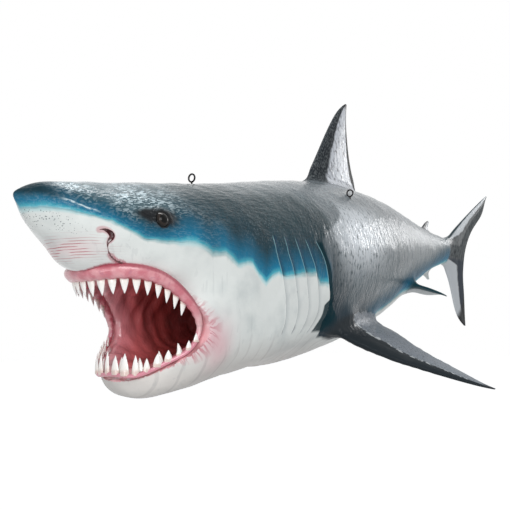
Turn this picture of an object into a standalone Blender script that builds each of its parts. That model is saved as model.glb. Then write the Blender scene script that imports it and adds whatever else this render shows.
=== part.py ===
"""A hanging display model of a great white shark with its mouth open.

Body, jaw, gums and fins are one fibreglass moulding. Cast teeth are set into sockets in the gums, two
glass eyes into sockets in the head, and three steel screw eyes in the back carry the model. Sizes are
in metres from the nose tip, with +X to the tail, -Y to the shark's left and +Z up. The finished model
is then moved so that its origin is the middle of the front screw eye's ring.
"""

import math

import bmesh
import bpy
import numpy as np
from mathutils import Matrix, Vector

# Clearances
FIT_GAP = 0.0003
WELD = 1e-6

# The body's length to the root of its tail fin, and the place of its widest section
TAIL_ROOT_X = 2.060
WIDEST_X = 0.850


def behind(share):
    """x at a share of the way from the widest section to the root of the tail fin."""
    return WIDEST_X + share * (TAIL_ROOT_X - WIDEST_X)


# Trunk stations from nose to tail: x, back, belly, half width
TRUNK_STATIONS = (
    (0.000, 0.044, 0.005, 0.014),
    (0.040, 0.053, -0.024, 0.046),
    (0.100, 0.061, -0.069, 0.081),
    (0.180, 0.072, -0.125, 0.114),
    (0.280, 0.086, -0.191, 0.138),
    (0.420, 0.106, -0.267, 0.163),
    (0.620, 0.140, -0.308, 0.188),
    (WIDEST_X, 0.178, -0.290, 0.203),
    (behind(0.248), 0.191, -0.236, 0.188),
    (behind(0.496), 0.164, -0.142, 0.136),
    (behind(0.702), 0.137, -0.056, 0.088),
    (behind(0.868), 0.126, -0.004, 0.052),
    (TAIL_ROOT_X, 0.119, 0.024, 0.030),
)
TRUNK_WIDEST = 0.535
TRUNK_BACK_FULLNESS = 2.08
TRUNK_BELLY_FULLNESS = 1.80
NOSE_ROUND = 0.060
STERN_ROUND = 0.050

# Lower jaw stations from chin to throat: x, top, underside, half width
JAW_STATIONS = (
    (0.195, -0.245, -0.303, 0.054),
    (0.240, -0.190, -0.331, 0.084),
    (0.320, -0.100, -0.336, 0.138),
    (0.430, -0.050, -0.319, 0.162),
    (0.600, -0.050, -0.298, 0.172),
    (0.860, -0.090, -0.230, 0.145),
)
JAW_WIDEST = 0.55
JAW_TOP_FULLNESS = 2.3
JAW_FULLNESS = 2.45
CHIN_ROUND = 0.070
THROAT_ROUND = 0.050

# Lips, from the middle of the snout or chin round to the corner of the mouth: x, half width, height
UPPER_LIP = (
    (0.141, 0.000, -0.091),
    (0.165, 0.071, -0.089),
    (0.229, 0.111, -0.101),
    (0.296, 0.125, -0.145),
    (0.345, 0.134, -0.207),
)
LOWER_LIP = (
    (0.208, 0.000, -0.296),
    (0.221, 0.056, -0.298),
    (0.263, 0.100, -0.276),
    (0.307, 0.130, -0.249),
    (0.345, 0.134, -0.207),
)
MOUTH_MIDDLE = (0.270, 0.000, -0.195)
UPPER_GUM_RADIUS = 0.015
LOWER_GUM_RADIUS = 0.009
UPPER_GUM_INSET = 0.014
LOWER_GUM_INSET = 0.004
GAPE_REACH = 2 * UPPER_LIP[-1][1]
GAPE_FRONT = 0.020
GAPE_TOP_DROP = 0.045
GAPE_BOTTOM_RISE = 0.011

# Mouth cavity stations from the front to the gullet: x, roof, floor, half width
CAVITY_STATIONS = (
    (0.180, -0.100, -0.285, 0.060),
    (0.260, -0.092, -0.280, 0.098),
    (0.340, -0.098, -0.278, 0.108),
    (0.450, -0.120, -0.262, 0.104),
    (0.600, -0.140, -0.235, 0.070),
)
CAVITY_WIDEST = 0.5
CAVITY_FULLNESS = 2.3
CAVITY_ROUND = 0.060

# Each fin has a place along the body, and rows from root to tip with x measured from that place:
# leading edge x, y, z, trailing edge x, y, z, half thickness
FIN_TRAILING_SHARE = 0.35
DORSAL_X = 0.880
DORSAL_FIN = (
    ((0.000, 0.0, 0.130), (0.390, 0.0, 0.130), 0.030),
    ((0.055, 0.0, 0.200), (0.382, 0.0, 0.200), 0.026),
    ((0.105, 0.0, 0.255), (0.348, 0.0, 0.255), 0.020),
    ((0.163, 0.0, 0.330), (0.326, 0.0, 0.330), 0.015),
    ((0.228, 0.0, 0.410), (0.319, 0.0, 0.410), 0.010),
    ((0.278, 0.0, 0.458), (0.323, 0.0, 0.458), 0.006),
    ((0.318, 0.0, 0.484), (0.329, 0.0, 0.484), 0.002),
)
SECOND_DORSAL_X = TAIL_ROOT_X - 0.325
SECOND_DORSAL_FIN = (
    ((0.000, 0.0, 0.105), (0.140, 0.0, 0.105), 0.010),
    ((0.055, 0.0, 0.147), (0.133, 0.0, 0.147), 0.007),
    ((0.137, 0.0, 0.181), (0.149, 0.0, 0.181), 0.002),
)
ANAL_X = TAIL_ROOT_X - 0.320
ANAL_FIN = (
    ((0.000, 0.0, 0.010), (0.110, 0.0, 0.010), 0.010),
    ((0.040, 0.0, -0.034), (0.112, 0.0, -0.034), 0.007),
    ((0.106, 0.0, -0.062), (0.118, 0.0, -0.062), 0.002),
)
TAIL_FIN = (
    ((0.325, 0.0, -0.252), (0.344, 0.0, -0.252), 0.002),
    ((0.210, 0.0, -0.200), (0.318, 0.0, -0.200), 0.007),
    ((0.118, 0.0, -0.110), (0.279, 0.0, -0.110), 0.012),
    ((0.038, 0.0, -0.030), (0.240, 0.0, -0.030), 0.017),
    ((-0.050, 0.0, 0.035), (0.228, 0.0, 0.035), 0.023),
    ((-0.040, 0.0, 0.100), (0.236, 0.0, 0.100), 0.023),
    ((0.095, 0.0, 0.185), (0.297, 0.0, 0.185), 0.014),
    ((0.240, 0.0, 0.262), (0.402, 0.0, 0.262), 0.009),
    ((0.370, 0.0, 0.326), (0.438, 0.0, 0.326), 0.006),
    ((0.448, 0.0, 0.362), (0.460, 0.0, 0.362), 0.002),
)
TAIL_TWIST_DEG = 9.0
TAIL_TWIST_HEIGHT = 0.060
PECTORAL_X = 0.760
PECTORAL_ROOT_Y = -0.100
PECTORAL_SPAN = 0.380


def outboard(share):
    """y at a share of the way from the root of the left pectoral fin to its tip."""
    return PECTORAL_ROOT_Y - share * PECTORAL_SPAN


PECTORAL_FIN = (
    ((0.000, outboard(0.00), -0.190), (0.330, outboard(-0.08), -0.190), 0.034),
    ((0.030, outboard(0.17), -0.232), (0.332, outboard(0.17), -0.228), 0.028),
    ((0.082, outboard(0.39), -0.280), (0.324, outboard(0.39), -0.278), 0.021),
    ((0.113, outboard(0.52), -0.304), (0.312, outboard(0.52), -0.302), 0.017),
    ((0.144, outboard(0.65), -0.324), (0.290, outboard(0.65), -0.322), 0.014),
    ((0.176, outboard(0.78), -0.344), (0.270, outboard(0.78), -0.342), 0.010),
    ((0.207, outboard(0.91), -0.362), (0.250, outboard(0.91), -0.362), 0.006),
    ((0.223, outboard(1.00), -0.372), (0.234, outboard(1.00), -0.372), 0.002),
)
PELVIC_X = behind(0.347)
PELVIC_FIN = (
    ((0.000, -0.095, -0.060), (0.160, -0.050, -0.090), 0.012),
    ((0.060, -0.150, -0.090), (0.190, -0.110, -0.125), 0.009),
    ((0.130, -0.190, -0.117), (0.185, -0.180, -0.128), 0.006),
    ((0.176, -0.210, -0.133), (0.186, -0.208, -0.135), 0.002),
)

# Gill slits on each side
GILL_COUNT = 5
GILL_FRONT = 0.518
GILL_PITCH = 0.037
GILL_TOP = -0.012
GILL_BOTTOM = -0.215
GILL_SWEEP = 0.085
GILL_HOOK = 1.6
GILL_WIDTH = 0.007
GILL_DEPTH = 0.009
GILL_END_TAPER = 0.1
GILL_OVERCUT = 0.018

# Eyes and nostrils
EYE_X = 0.225
EYE_HEIGHT = -0.006
EYE_RADIUS = 0.016
EYE_SINK = 0.008
NOSTRIL_X = 0.130
NOSTRIL_HEIGHT = -0.038
NOSTRIL_LENGTH = 0.030
NOSTRIL_WIDTH = 0.010
NOSTRIL_DEPTH = 0.012
NOSTRIL_TILT_DEG = 40.0

# Teeth on each half of each gum
UPPER_TEETH = 10
LOWER_TEETH = 9
TOOTH_PITCH = 0.0225
TOOTH_ROOT = 0.008
TOOTH_TIP_RADIUS = 0.0006
TOOTH_THINNESS = 0.45
TOOTH_SIDES = 6
UPPER_TOOTH_LENGTH = (0.026, 0.019)
LOWER_TOOTH_LENGTH = (0.033, 0.014)
TOOTH_HALF_WIDTH = (0.0094, 0.0066)
UPPER_TOOTH_LEAN = 0.20
LOWER_TOOTH_LEAN = -0.05

# Screw eyes
RING_RADIUS = 0.0088
WIRE_RADIUS = 0.0020
SHANK_DEPTH = 0.024
SHANK_RISE = 0.003
FRONT_EYE_X = 0.450
REAR_EYE_X = 0.925
REAR_EYE_REACH = 0.146

# Mesh fineness
TRUNK_RINGS, TRUNK_SIDES = 42, 28
JAW_RINGS, JAW_SIDES = 18, 24
CAVITY_RINGS, CAVITY_SIDES = 12, 20
FIN_SPANS, FIN_SIDES = 8, 12
TAIL_SPANS, PELVIC_SPANS, SMALL_FIN_SPANS = 18, 5, 4
GUM_POINTS = 44
GAPE_STEPS = 8
GILL_STEPS = 5
BALL_SIDES, BALL_RINGS = 14, 8
SHANK_SIDES = 8
WIRE_SIDES, RING_STEPS = 6, 16
RING_CROWDING = 1.5
GUM_LENGTH_STEPS = 400
SLOPE_STEP = 0.002
TANGENT_STEP = 0.005

# Colours as they look in plain light, with roughness
SKIN_GREY = (0.075, 0.105, 0.125), 0.25
TOOTH_IVORY = (0.80, 0.74, 0.60), 0.30
EYE_BROWN = (0.012, 0.008, 0.006), 0.05
STEEL_BLACK = (0.020, 0.020, 0.022), 0.45


def smooth_curve(points):
    """A natural cubic spline through (x, value) points, as a function of x."""
    xs, ys = np.array(points, float).T
    step = np.diff(xs)
    matrix, load = np.eye(len(xs)), np.zeros(len(xs))
    for i in range(1, len(xs) - 1):
        matrix[i, i - 1 : i + 2] = step[i - 1], 2 * (step[i - 1] + step[i]), step[i]
        load[i] = 6 * ((ys[i + 1] - ys[i]) / step[i] - (ys[i] - ys[i - 1]) / step[i - 1])
    bend = np.linalg.solve(matrix, load)

    def value(x):
        i = int(np.clip(np.searchsorted(xs, x) - 1, 0, len(xs) - 2))
        span, ahead, behind = step[i], xs[i + 1] - x, x - xs[i]
        cubic = (bend[i] * ahead**3 + bend[i + 1] * behind**3) / (6 * span)
        start, end = ys[i] / span - bend[i] * span / 6, ys[i + 1] / span - bend[i + 1] * span / 6
        return cubic + start * ahead + end * behind

    return value


def smooth_path(points):
    """A smooth 3D path through points, as a function of a fraction from 0 to 1."""
    steps = np.linspace(0, 1, len(points))
    curves = [smooth_curve(list(zip(steps, column))) for column in zip(*points)]
    return lambda fraction: Vector([curve(fraction) for curve in curves])


def rounded(distance, radius):
    """How full a section is at a distance from a rounded end: 0 at the end, 1 past its radius."""
    short = min(max(1 - distance / radius, 0.0), 1.0)
    return math.sqrt(1 - short**2)


class Hull:
    """A rounded long body given by stations, with an oval section at every x."""

    def __init__(self, stations, widest, top_fullness, bottom_fullness, front_round, rear_round):
        self.top, self.bottom, self.half_width = (
            smooth_curve([(row[0], row[i]) for row in stations]) for i in (1, 2, 3)
        )
        self.front, self.rear = stations[0][0], stations[-1][0]
        self.widest = widest
        self.fullness = top_fullness, bottom_fullness
        self.rounds = front_round, rear_round

    def section(self, x):
        """Height of the widest line, rise above it, drop below it and half width at x."""
        x = min(max(x, self.front), self.rear)
        top, bottom = self.top(x), self.bottom(x)
        middle = bottom + self.widest * (top - bottom)
        full = rounded(x - self.front, self.rounds[0]) * rounded(self.rear - x, self.rounds[1])
        return middle, (top - middle) * full, (middle - bottom) * full, self.half_width(x) * full

    def point(self, x, turn):
        """The skin's point at x and an angle from the back, going round by the left side."""
        middle, rise, drop, half_width = self.section(x)
        up, across = math.cos(turn), math.sin(turn)
        power = 2 / self.fullness[0 if up > 0 else 1]
        height = (rise if up > 0 else -drop) * abs(up) ** power
        return Vector((x, -half_width * math.copysign(abs(across) ** power, across), middle + height))

    def reach(self, x, z):
        """The half width of the skin at x and height z."""
        middle, rise, drop, half_width = self.section(x)
        fullness = self.fullness[0 if z > middle else 1]
        share = min(abs(z - middle) / (rise if z > middle else drop), 1.0)
        return half_width * (1 - share**fullness) ** (1 / fullness)

    def height(self, x, y):
        """The height of the back at x and distance y from the middle."""
        middle, rise, _, half_width = self.section(x)
        share = min(abs(y) / half_width, 1.0)
        return middle + rise * (1 - share ** self.fullness[0]) ** (1 / self.fullness[0])

    def outward(self, x, z):
        """The left skin's outward direction at x and height z."""
        step = SLOPE_STEP
        slope_x = (self.reach(x + step, z) - self.reach(x - step, z)) / (2 * step)
        slope_z = (self.reach(x, z + step) - self.reach(x, z - step)) / (2 * step)
        return Vector((-slope_x, -1, -slope_z)).normalized()


TRUNK = Hull(
    TRUNK_STATIONS, TRUNK_WIDEST, TRUNK_BACK_FULLNESS, TRUNK_BELLY_FULLNESS, NOSE_ROUND, STERN_ROUND
)
JAW = Hull(JAW_STATIONS, JAW_WIDEST, JAW_TOP_FULLNESS, JAW_FULLNESS, CHIN_ROUND, THROAT_ROUND)
CAVITY = Hull(
    CAVITY_STATIONS, CAVITY_WIDEST, CAVITY_FULLNESS, CAVITY_FULLNESS, CAVITY_ROUND, CAVITY_ROUND
)
RING_LIFT = WIRE_RADIUS + RING_RADIUS + SHANK_RISE
HANG_POINT = Vector((FRONT_EYE_X, 0, TRUNK.height(FRONT_EYE_X, 0) + RING_LIFT))


def material(name, colour, roughness, metallic=0.0):
    finish = bpy.data.materials.new(name)
    finish.use_nodes = True
    shader = finish.node_tree.nodes["Principled BSDF"]
    shader.inputs["Base Color"].default_value = (*colour, 1)
    shader.inputs["Roughness"].default_value = roughness
    shader.inputs["Metallic"].default_value = metallic
    return finish


def add_object(name, shape):
    """Link a bmesh to the scene as an object, measured from the hanging point."""
    bmesh.ops.translate(shape, verts=shape.verts, vec=-HANG_POINT)
    bmesh.ops.recalc_face_normals(shape, faces=shape.faces)
    mesh = bpy.data.meshes.new(name)
    shape.to_mesh(mesh)
    shape.free()
    obj = bpy.data.objects.new(name, mesh)
    bpy.context.scene.collection.objects.link(obj)
    return obj


def rolled_grid(rings, sides, place):
    """A tube rolled from a flat grid. Open ends are capped and ends drawn to a point are merged."""
    shape = bmesh.new()
    bmesh.ops.create_grid(shape, x_segments=rings, y_segments=sides, size=0.5)
    for vertex in shape.verts:
        vertex.co = place(vertex.co.x + 0.5, vertex.co.y + 0.5)
    bmesh.ops.remove_doubles(shape, verts=shape.verts, dist=WELD)
    bmesh.ops.holes_fill(shape, edges=[edge for edge in shape.edges if edge.is_boundary])
    return shape


def hull_shape(hull, rings, sides):
    """A hull's skin, with rings closer at its front and flat facets along its middle line."""

    def place(along, around):
        x = hull.front + (hull.rear - hull.front) * along**RING_CROWDING
        return hull.point(x, 2 * math.pi * (around + 0.5 / sides))

    return rolled_grid(rings, sides, place)


def fin_shape(place_x, rows, sheet_normal, spans=FIN_SPANS):
    """A fin lofted through rows, round at its leading edge and thin at its trailing edge."""
    lead = smooth_path([(place_x + row[0][0], *row[0][1:]) for row in rows])
    trail = smooth_path([(place_x + row[1][0], *row[1][1:]) for row in rows])
    thickness = smooth_curve([(i / (len(rows) - 1), row[2]) for i, row in enumerate(rows)])

    def place(along, around):
        turn = 2 * math.pi * around
        forward = (1 + math.cos(turn)) / 2
        fullness = FIN_TRAILING_SHARE + (1 - FIN_TRAILING_SHARE) * forward
        swell = thickness(along) * math.sin(turn) * fullness
        return trail(along).lerp(lead(along), forward) + sheet_normal * swell

    return rolled_grid(spans, FIN_SIDES, place)


def mirrored(shape):
    """A copy of a left piece for the right side."""
    copy = shape.copy()
    bmesh.ops.scale(copy, verts=copy.verts, vec=(1, -1, 1))
    return copy


def paired(name, shape):
    """Left and right copies of a shape that joins or cuts the body."""
    return [add_object(f"{name}_right", mirrored(shape)), add_object(f"{name}_left", shape)]


def side_sheet(rows):
    """The direction across a paired fin's sheet, from its first and last rows."""
    out = Vector(rows[-1][0]) - Vector(rows[0][0])
    back = Vector(rows[0][1]) - Vector(rows[0][0])
    return out.cross(back).normalized()


def tail_shape():
    shape = fin_shape(TAIL_ROOT_X, TAIL_FIN, Vector((0, 1, 0)), spans=TAIL_SPANS)
    centre = Vector((0, 0, TAIL_TWIST_HEIGHT))
    turn = Matrix.Rotation(math.radians(TAIL_TWIST_DEG), 3, "X")
    bmesh.ops.rotate(shape, verts=shape.verts, cent=centre, matrix=turn)
    return shape


def gape_shape():
    """The open mouth's side outline, carried right across the head."""
    upper = smooth_path(UPPER_LIP)
    lower = smooth_path(LOWER_LIP)
    steps = [i / GAPE_STEPS for i in range(GAPE_STEPS + 1)]
    outline = [upper(step) for step in steps] + [lower(step) for step in reversed(steps[:-1])]
    top, bottom = Vector(UPPER_LIP[0]), Vector(LOWER_LIP[0])
    outline.append(Vector((GAPE_FRONT, 0, bottom.z + GAPE_BOTTOM_RISE)))
    outline.append(Vector((GAPE_FRONT, 0, top.z - GAPE_TOP_DROP)))
    shape = bmesh.new()
    corners = [shape.verts.new((point.x, -GAPE_REACH, point.z)) for point in outline]
    face = shape.faces.new(corners)
    across = bmesh.ops.extrude_face_region(shape, geom=[face])["geom"]
    moved = [item for item in across if isinstance(item, bmesh.types.BMVert)]
    bmesh.ops.translate(shape, verts=moved, vec=(0, 2 * GAPE_REACH, 0))
    return shape


class Gum:
    """A roll of gum just inside a lip, from the mouth's left corner round to the right one."""

    def __init__(self, lip, radius, inset):
        corner_radius = (UPPER_GUM_RADIUS + LOWER_GUM_RADIUS) / 2
        corner_inset = (UPPER_GUM_INSET + LOWER_GUM_INSET) / 2
        middle = Vector(MOUTH_MIDDLE)
        half = [Vector(point) for point in lip]
        left = [Vector((point.x, -point.y, point.z)) for point in reversed(half[1:])]
        shares = [abs(i) / (len(half) - 1) for i in range(1 - len(half), len(half))]
        radii = [radius + (corner_radius - radius) * share**2 for share in shares]
        insets = [inset + (corner_inset - inset) * share**2 for share in shares]
        outline = zip(left + half, insets)
        self.line = smooth_path([point + (middle - point).normalized() * step for point, step in outline])
        self.radius = smooth_curve(list(zip(np.linspace(0, 1, len(radii)), radii)))


UPPER_GUM = Gum(UPPER_LIP, UPPER_GUM_RADIUS, UPPER_GUM_INSET)
LOWER_GUM = Gum(LOWER_LIP, LOWER_GUM_RADIUS, LOWER_GUM_INSET)


def gum_shape():
    """One roll of gum round the whole mouth."""
    curve = bpy.data.curves.new("gum_roll", "CURVE")
    curve.dimensions = "3D"
    curve.bevel_depth = 1
    curve.bevel_resolution = 2
    spline = curve.splines.new("POLY")
    half = GUM_POINTS // 2
    stops = [(UPPER_GUM, i / half) for i in range(half)] + [(LOWER_GUM, 1 - i / half) for i in range(half)]
    spline.points.add(len(stops) - 1)
    for place, (gum, fraction) in zip(spline.points, stops):
        place.co = (*gum.line(fraction), 1)
        place.radius = gum.radius(fraction)
    spline.use_cyclic_u = True
    holder = bpy.data.objects.new("gum_roll", curve)
    shape = bmesh.new()
    shape.from_mesh(holder.to_mesh())
    bpy.data.objects.remove(holder)
    return shape


def gill_shape(index):
    """A thin curved blade that sinks one gill slit into the left side."""
    start = GILL_FRONT + index * GILL_PITCH
    shape = bmesh.new()
    bmesh.ops.create_grid(shape, x_segments=GILL_STEPS, y_segments=1, size=0.5)
    for vertex in shape.verts:
        down = vertex.co.x + 0.5
        x = start + GILL_SWEEP * down**GILL_HOOK + vertex.co.y * GILL_WIDTH
        z = GILL_TOP + (GILL_BOTTOM - GILL_TOP) * down
        depth = GILL_DEPTH * math.sin(math.pi * (GILL_END_TAPER + (1 - 2 * GILL_END_TAPER) * down))
        vertex.co = (x, depth - TRUNK.reach(x, z), z)
    faces = list(shape.faces)
    across = bmesh.ops.extrude_face_region(shape, geom=faces)["geom"]
    moved = [item for item in across if isinstance(item, bmesh.types.BMVert)]
    bmesh.ops.translate(shape, verts=moved, vec=(0, -GILL_DEPTH - GILL_OVERCUT, 0))
    return shape


def ball(radius, centre):
    shape = bmesh.new()
    bmesh.ops.create_uvsphere(shape, u_segments=BALL_SIDES, v_segments=BALL_RINGS, radius=radius)
    bmesh.ops.translate(shape, verts=shape.verts, vec=centre)
    return shape


def eye_centre():
    surface = Vector((EYE_X, -TRUNK.reach(EYE_X, EYE_HEIGHT), EYE_HEIGHT))
    return surface - TRUNK.outward(EYE_X, EYE_HEIGHT) * EYE_SINK


def nostril_shape():
    shape = ball(1.0, (0, 0, 0))
    size = (NOSTRIL_LENGTH / 2, NOSTRIL_DEPTH, NOSTRIL_WIDTH / 2)
    bmesh.ops.scale(shape, verts=shape.verts, vec=size)
    turn = Matrix.Rotation(math.radians(NOSTRIL_TILT_DEG), 3, "Y")
    bmesh.ops.rotate(shape, verts=shape.verts, cent=(0, 0, 0), matrix=turn)
    reach = TRUNK.reach(NOSTRIL_X, NOSTRIL_HEIGHT)
    bmesh.ops.translate(shape, verts=shape.verts, vec=(NOSTRIL_X, -reach, NOSTRIL_HEIGHT))
    return shape


def tooth_places(gum, count, lengths, up, lean):
    """For each tooth on a gum: its place and directions, the gum's radius, its length and half width."""
    fine = [gum.line(i / GUM_LENGTH_STEPS) for i in range(GUM_LENGTH_STEPS + 1)]
    walked = np.concatenate([[0], np.cumsum([(b - a).length for a, b in zip(fine, fine[1:])])])
    for i in range(2 * count):
        offset = (i - count + 0.5) * TOOTH_PITCH
        fraction = float(np.interp(walked[-1] / 2 + offset, walked, np.linspace(0, 1, len(fine))))
        share = (abs(offset) / TOOTH_PITCH - 0.5) / (count - 1)
        place = gum.line(fraction)
        along = (gum.line(fraction + TANGENT_STEP) - gum.line(fraction - TANGENT_STEP)).normalized()
        inward = (Vector(MOUTH_MIDDLE) - place).normalized()
        out = (Vector((0, 0, up)) + inward * lean).normalized()
        length = lengths[0] + (lengths[1] - lengths[0]) * share
        half_width = TOOTH_HALF_WIDTH[0] + (TOOTH_HALF_WIDTH[1] - TOOTH_HALF_WIDTH[0]) * share
        yield place, along, out, gum.radius(fraction), length, half_width


def tooth_shape(place, along, out, gum_radius, length, half_width, gap=0.0):
    """A flattened cone from inside the gum to the tooth's point. A gap makes it the tooth's socket."""
    shape = bmesh.new()
    root = gum_radius - TOOTH_ROOT - gap
    tall = gum_radius + length - root + gap
    radii = half_width + gap / TOOTH_THINNESS, TOOTH_TIP_RADIUS + gap / TOOTH_THINNESS
    bmesh.ops.create_cone(
        shape, cap_ends=True, segments=TOOTH_SIDES, radius1=radii[0], radius2=radii[1], depth=tall
    )
    bmesh.ops.translate(shape, verts=shape.verts, vec=(0, 0, root + tall / 2))
    bmesh.ops.scale(shape, verts=shape.verts, vec=(1, TOOTH_THINNESS, 1))
    across = out.cross(along).normalized()
    axes = Matrix((across.cross(out), across, out)).transposed().to_4x4()
    bmesh.ops.transform(shape, verts=shape.verts, matrix=Matrix.Translation(place) @ axes)
    return shape


def joined(shapes):
    """Several separate shapes as one bmesh."""
    whole = bmesh.new()
    for shape in shapes:
        mesh = bpy.data.meshes.new("piece")
        shape.to_mesh(mesh)
        shape.free()
        whole.from_mesh(mesh)
        bpy.data.meshes.remove(mesh)
    return whole


def screw_eye_places():
    """The foot of each screw eye on the back."""
    yield "front_screw_eye", Vector((FRONT_EYE_X, 0, TRUNK.height(FRONT_EYE_X, 0)))
    rear = TRUNK.height(REAR_EYE_X, REAR_EYE_REACH)
    yield "rear_left_screw_eye", Vector((REAR_EYE_X, -REAR_EYE_REACH, rear))
    yield "rear_right_screw_eye", Vector((REAR_EYE_X, REAR_EYE_REACH, rear))


def shank_shape(foot, gap=0.0):
    shape = bmesh.new()
    tall = SHANK_DEPTH + SHANK_RISE + WIRE_RADIUS
    radius = WIRE_RADIUS + gap
    bmesh.ops.create_cone(
        shape, cap_ends=True, segments=SHANK_SIDES, radius1=radius, radius2=radius, depth=tall + 2 * gap
    )
    bmesh.ops.translate(shape, verts=shape.verts, vec=foot + Vector((0, 0, tall / 2 - SHANK_DEPTH)))
    return shape


def ring_shape(foot):
    """The screw eye's ring, standing across the back."""
    shape = bmesh.new()
    bmesh.ops.create_circle(shape, segments=WIRE_SIDES, radius=WIRE_RADIUS)
    stand = Matrix.Rotation(math.pi / 2, 3, "X")
    bmesh.ops.rotate(shape, verts=shape.verts, cent=(0, 0, 0), matrix=stand)
    bmesh.ops.translate(shape, verts=shape.verts, vec=(0, 0, RING_RADIUS))
    wire = shape.verts[:] + shape.edges[:]
    turn = 2 * math.pi
    bmesh.ops.spin(
        shape, geom=wire, cent=(0, 0, 0), axis=(1, 0, 0), angle=turn, steps=RING_STEPS, use_merge=True
    )
    bmesh.ops.remove_doubles(shape, verts=shape.verts, dist=WELD)
    bmesh.ops.translate(shape, verts=shape.verts, vec=foot + Vector((0, 0, RING_LIFT)))
    return shape


def boolean(obj, operation, tools):
    """Join tools to an object or cut it with them. The tools stay as hidden guides."""
    for tool in tools:
        modifier = obj.modifiers.new(f"{operation.lower()}_{tool.name}", "BOOLEAN")
        modifier.operation = operation
        modifier.solver = "EXACT"
        modifier.object = tool
        tool.hide_render = True
        tool.display_type = "WIRE"


def build_body(teeth):
    body = add_object("shark_body", hull_shape(TRUNK, TRUNK_RINGS, TRUNK_SIDES))
    side = Vector((0, 1, 0))
    second_dorsal = fin_shape(SECOND_DORSAL_X, SECOND_DORSAL_FIN, side, SMALL_FIN_SPANS)
    pectoral = fin_shape(PECTORAL_X, PECTORAL_FIN, side_sheet(PECTORAL_FIN))
    pelvic = fin_shape(PELVIC_X, PELVIC_FIN, side_sheet(PELVIC_FIN), PELVIC_SPANS)
    solids = [
        add_object("jaw_form", hull_shape(JAW, JAW_RINGS, JAW_SIDES)),
        add_object("dorsal_form", fin_shape(DORSAL_X, DORSAL_FIN, side)),
        add_object("second_dorsal_form", second_dorsal),
        add_object("anal_form", fin_shape(ANAL_X, ANAL_FIN, side, SMALL_FIN_SPANS)),
        add_object("tail_form", tail_shape()),
    ]
    solids += paired("pectoral_form", pectoral)
    solids += paired("pelvic_form", pelvic)
    boolean(body, "UNION", solids)
    cavity = add_object("cavity_cut", hull_shape(CAVITY, CAVITY_RINGS, CAVITY_SIDES))
    boolean(body, "DIFFERENCE", [add_object("gape_cut", gape_shape()), cavity])
    boolean(body, "UNION", [add_object("gum_form", gum_shape())])
    cuts = []
    for index in range(GILL_COUNT):
        cuts += paired(f"gill_cut_{index + 1}", gill_shape(index))
    cuts += paired("nostril_cut", nostril_shape())
    cuts += paired("eye_cut", ball(EYE_RADIUS + FIT_GAP, eye_centre()))
    sockets = [tooth_shape(*tooth, gap=FIT_GAP) for tooth in teeth]
    cuts.append(add_object("socket_cut", joined(sockets)))
    holes = [shank_shape(foot, FIT_GAP) for _, foot in screw_eye_places()]
    cuts.append(add_object("shank_cut", joined(holes)))
    boolean(body, "DIFFERENCE", cuts)
    body.data.materials.append(material("painted_fibreglass", *SKIN_GREY))


def build_teeth(name, teeth, finish):
    for number, tooth in enumerate(teeth, start=1):
        obj = add_object(f"{name}_{number:02d}", tooth_shape(*tooth))
        obj.data.materials.append(finish)


def build_eyes():
    finish = material("eye_glass", *EYE_BROWN)
    left = ball(EYE_RADIUS, eye_centre())
    for name, shape in (("right_eye", mirrored(left)), ("left_eye", left)):
        add_object(name, shape).data.materials.append(finish)


def build_screw_eyes():
    finish = material("black_steel", *STEEL_BLACK, metallic=1.0)
    for name, foot in screw_eye_places():
        screw_eye = add_object(name, ring_shape(foot))
        boolean(screw_eye, "UNION", [add_object(f"{name}_shank", shank_shape(foot))])
        screw_eye.data.materials.append(finish)


def main():
    for obj in list(bpy.data.objects):
        bpy.data.objects.remove(obj)
    upper = list(tooth_places(UPPER_GUM, UPPER_TEETH, UPPER_TOOTH_LENGTH, -1, UPPER_TOOTH_LEAN))
    lower = list(tooth_places(LOWER_GUM, LOWER_TEETH, LOWER_TOOTH_LENGTH, 1, LOWER_TOOTH_LEAN))
    build_body(upper + lower)
    ivory = material("tooth_resin", *TOOTH_IVORY)
    build_teeth("upper_tooth", upper, ivory)
    build_teeth("lower_tooth", lower, ivory)
    build_eyes()
    build_screw_eyes()


main()
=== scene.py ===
import math

import bmesh
import bpy
import numpy as np
from mathutils import Matrix, Vector
from mathutils.kdtree import KDTree


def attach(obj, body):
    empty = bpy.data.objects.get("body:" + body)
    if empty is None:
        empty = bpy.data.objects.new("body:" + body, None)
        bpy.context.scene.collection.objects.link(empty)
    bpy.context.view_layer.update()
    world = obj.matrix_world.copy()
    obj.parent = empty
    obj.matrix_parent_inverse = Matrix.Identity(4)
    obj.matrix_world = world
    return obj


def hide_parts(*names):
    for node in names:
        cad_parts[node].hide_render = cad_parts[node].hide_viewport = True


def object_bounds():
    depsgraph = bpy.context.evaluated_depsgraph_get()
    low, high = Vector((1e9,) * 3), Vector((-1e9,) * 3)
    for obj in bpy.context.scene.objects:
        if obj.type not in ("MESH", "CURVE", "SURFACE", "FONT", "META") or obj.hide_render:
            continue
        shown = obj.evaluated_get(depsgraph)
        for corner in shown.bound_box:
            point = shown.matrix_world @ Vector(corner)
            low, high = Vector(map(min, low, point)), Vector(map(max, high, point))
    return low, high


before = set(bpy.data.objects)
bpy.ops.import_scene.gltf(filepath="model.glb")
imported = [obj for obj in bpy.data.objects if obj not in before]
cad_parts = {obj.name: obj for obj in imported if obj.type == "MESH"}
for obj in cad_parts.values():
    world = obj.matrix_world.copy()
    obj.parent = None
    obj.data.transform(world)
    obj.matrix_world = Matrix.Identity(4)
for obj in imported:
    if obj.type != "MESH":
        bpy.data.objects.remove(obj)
CAD_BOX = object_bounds()

# The body's driving sizes, in metres from the nose tip, with +X to the tail and -Y to the shark's left
TAIL_ROOT_X = 2.060
WIDEST_X = 0.850


def behind(share):
    """x at a share of the way from the widest section to the root of the tail fin."""
    return WIDEST_X + share * (TAIL_ROOT_X - WIDEST_X)


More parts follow.
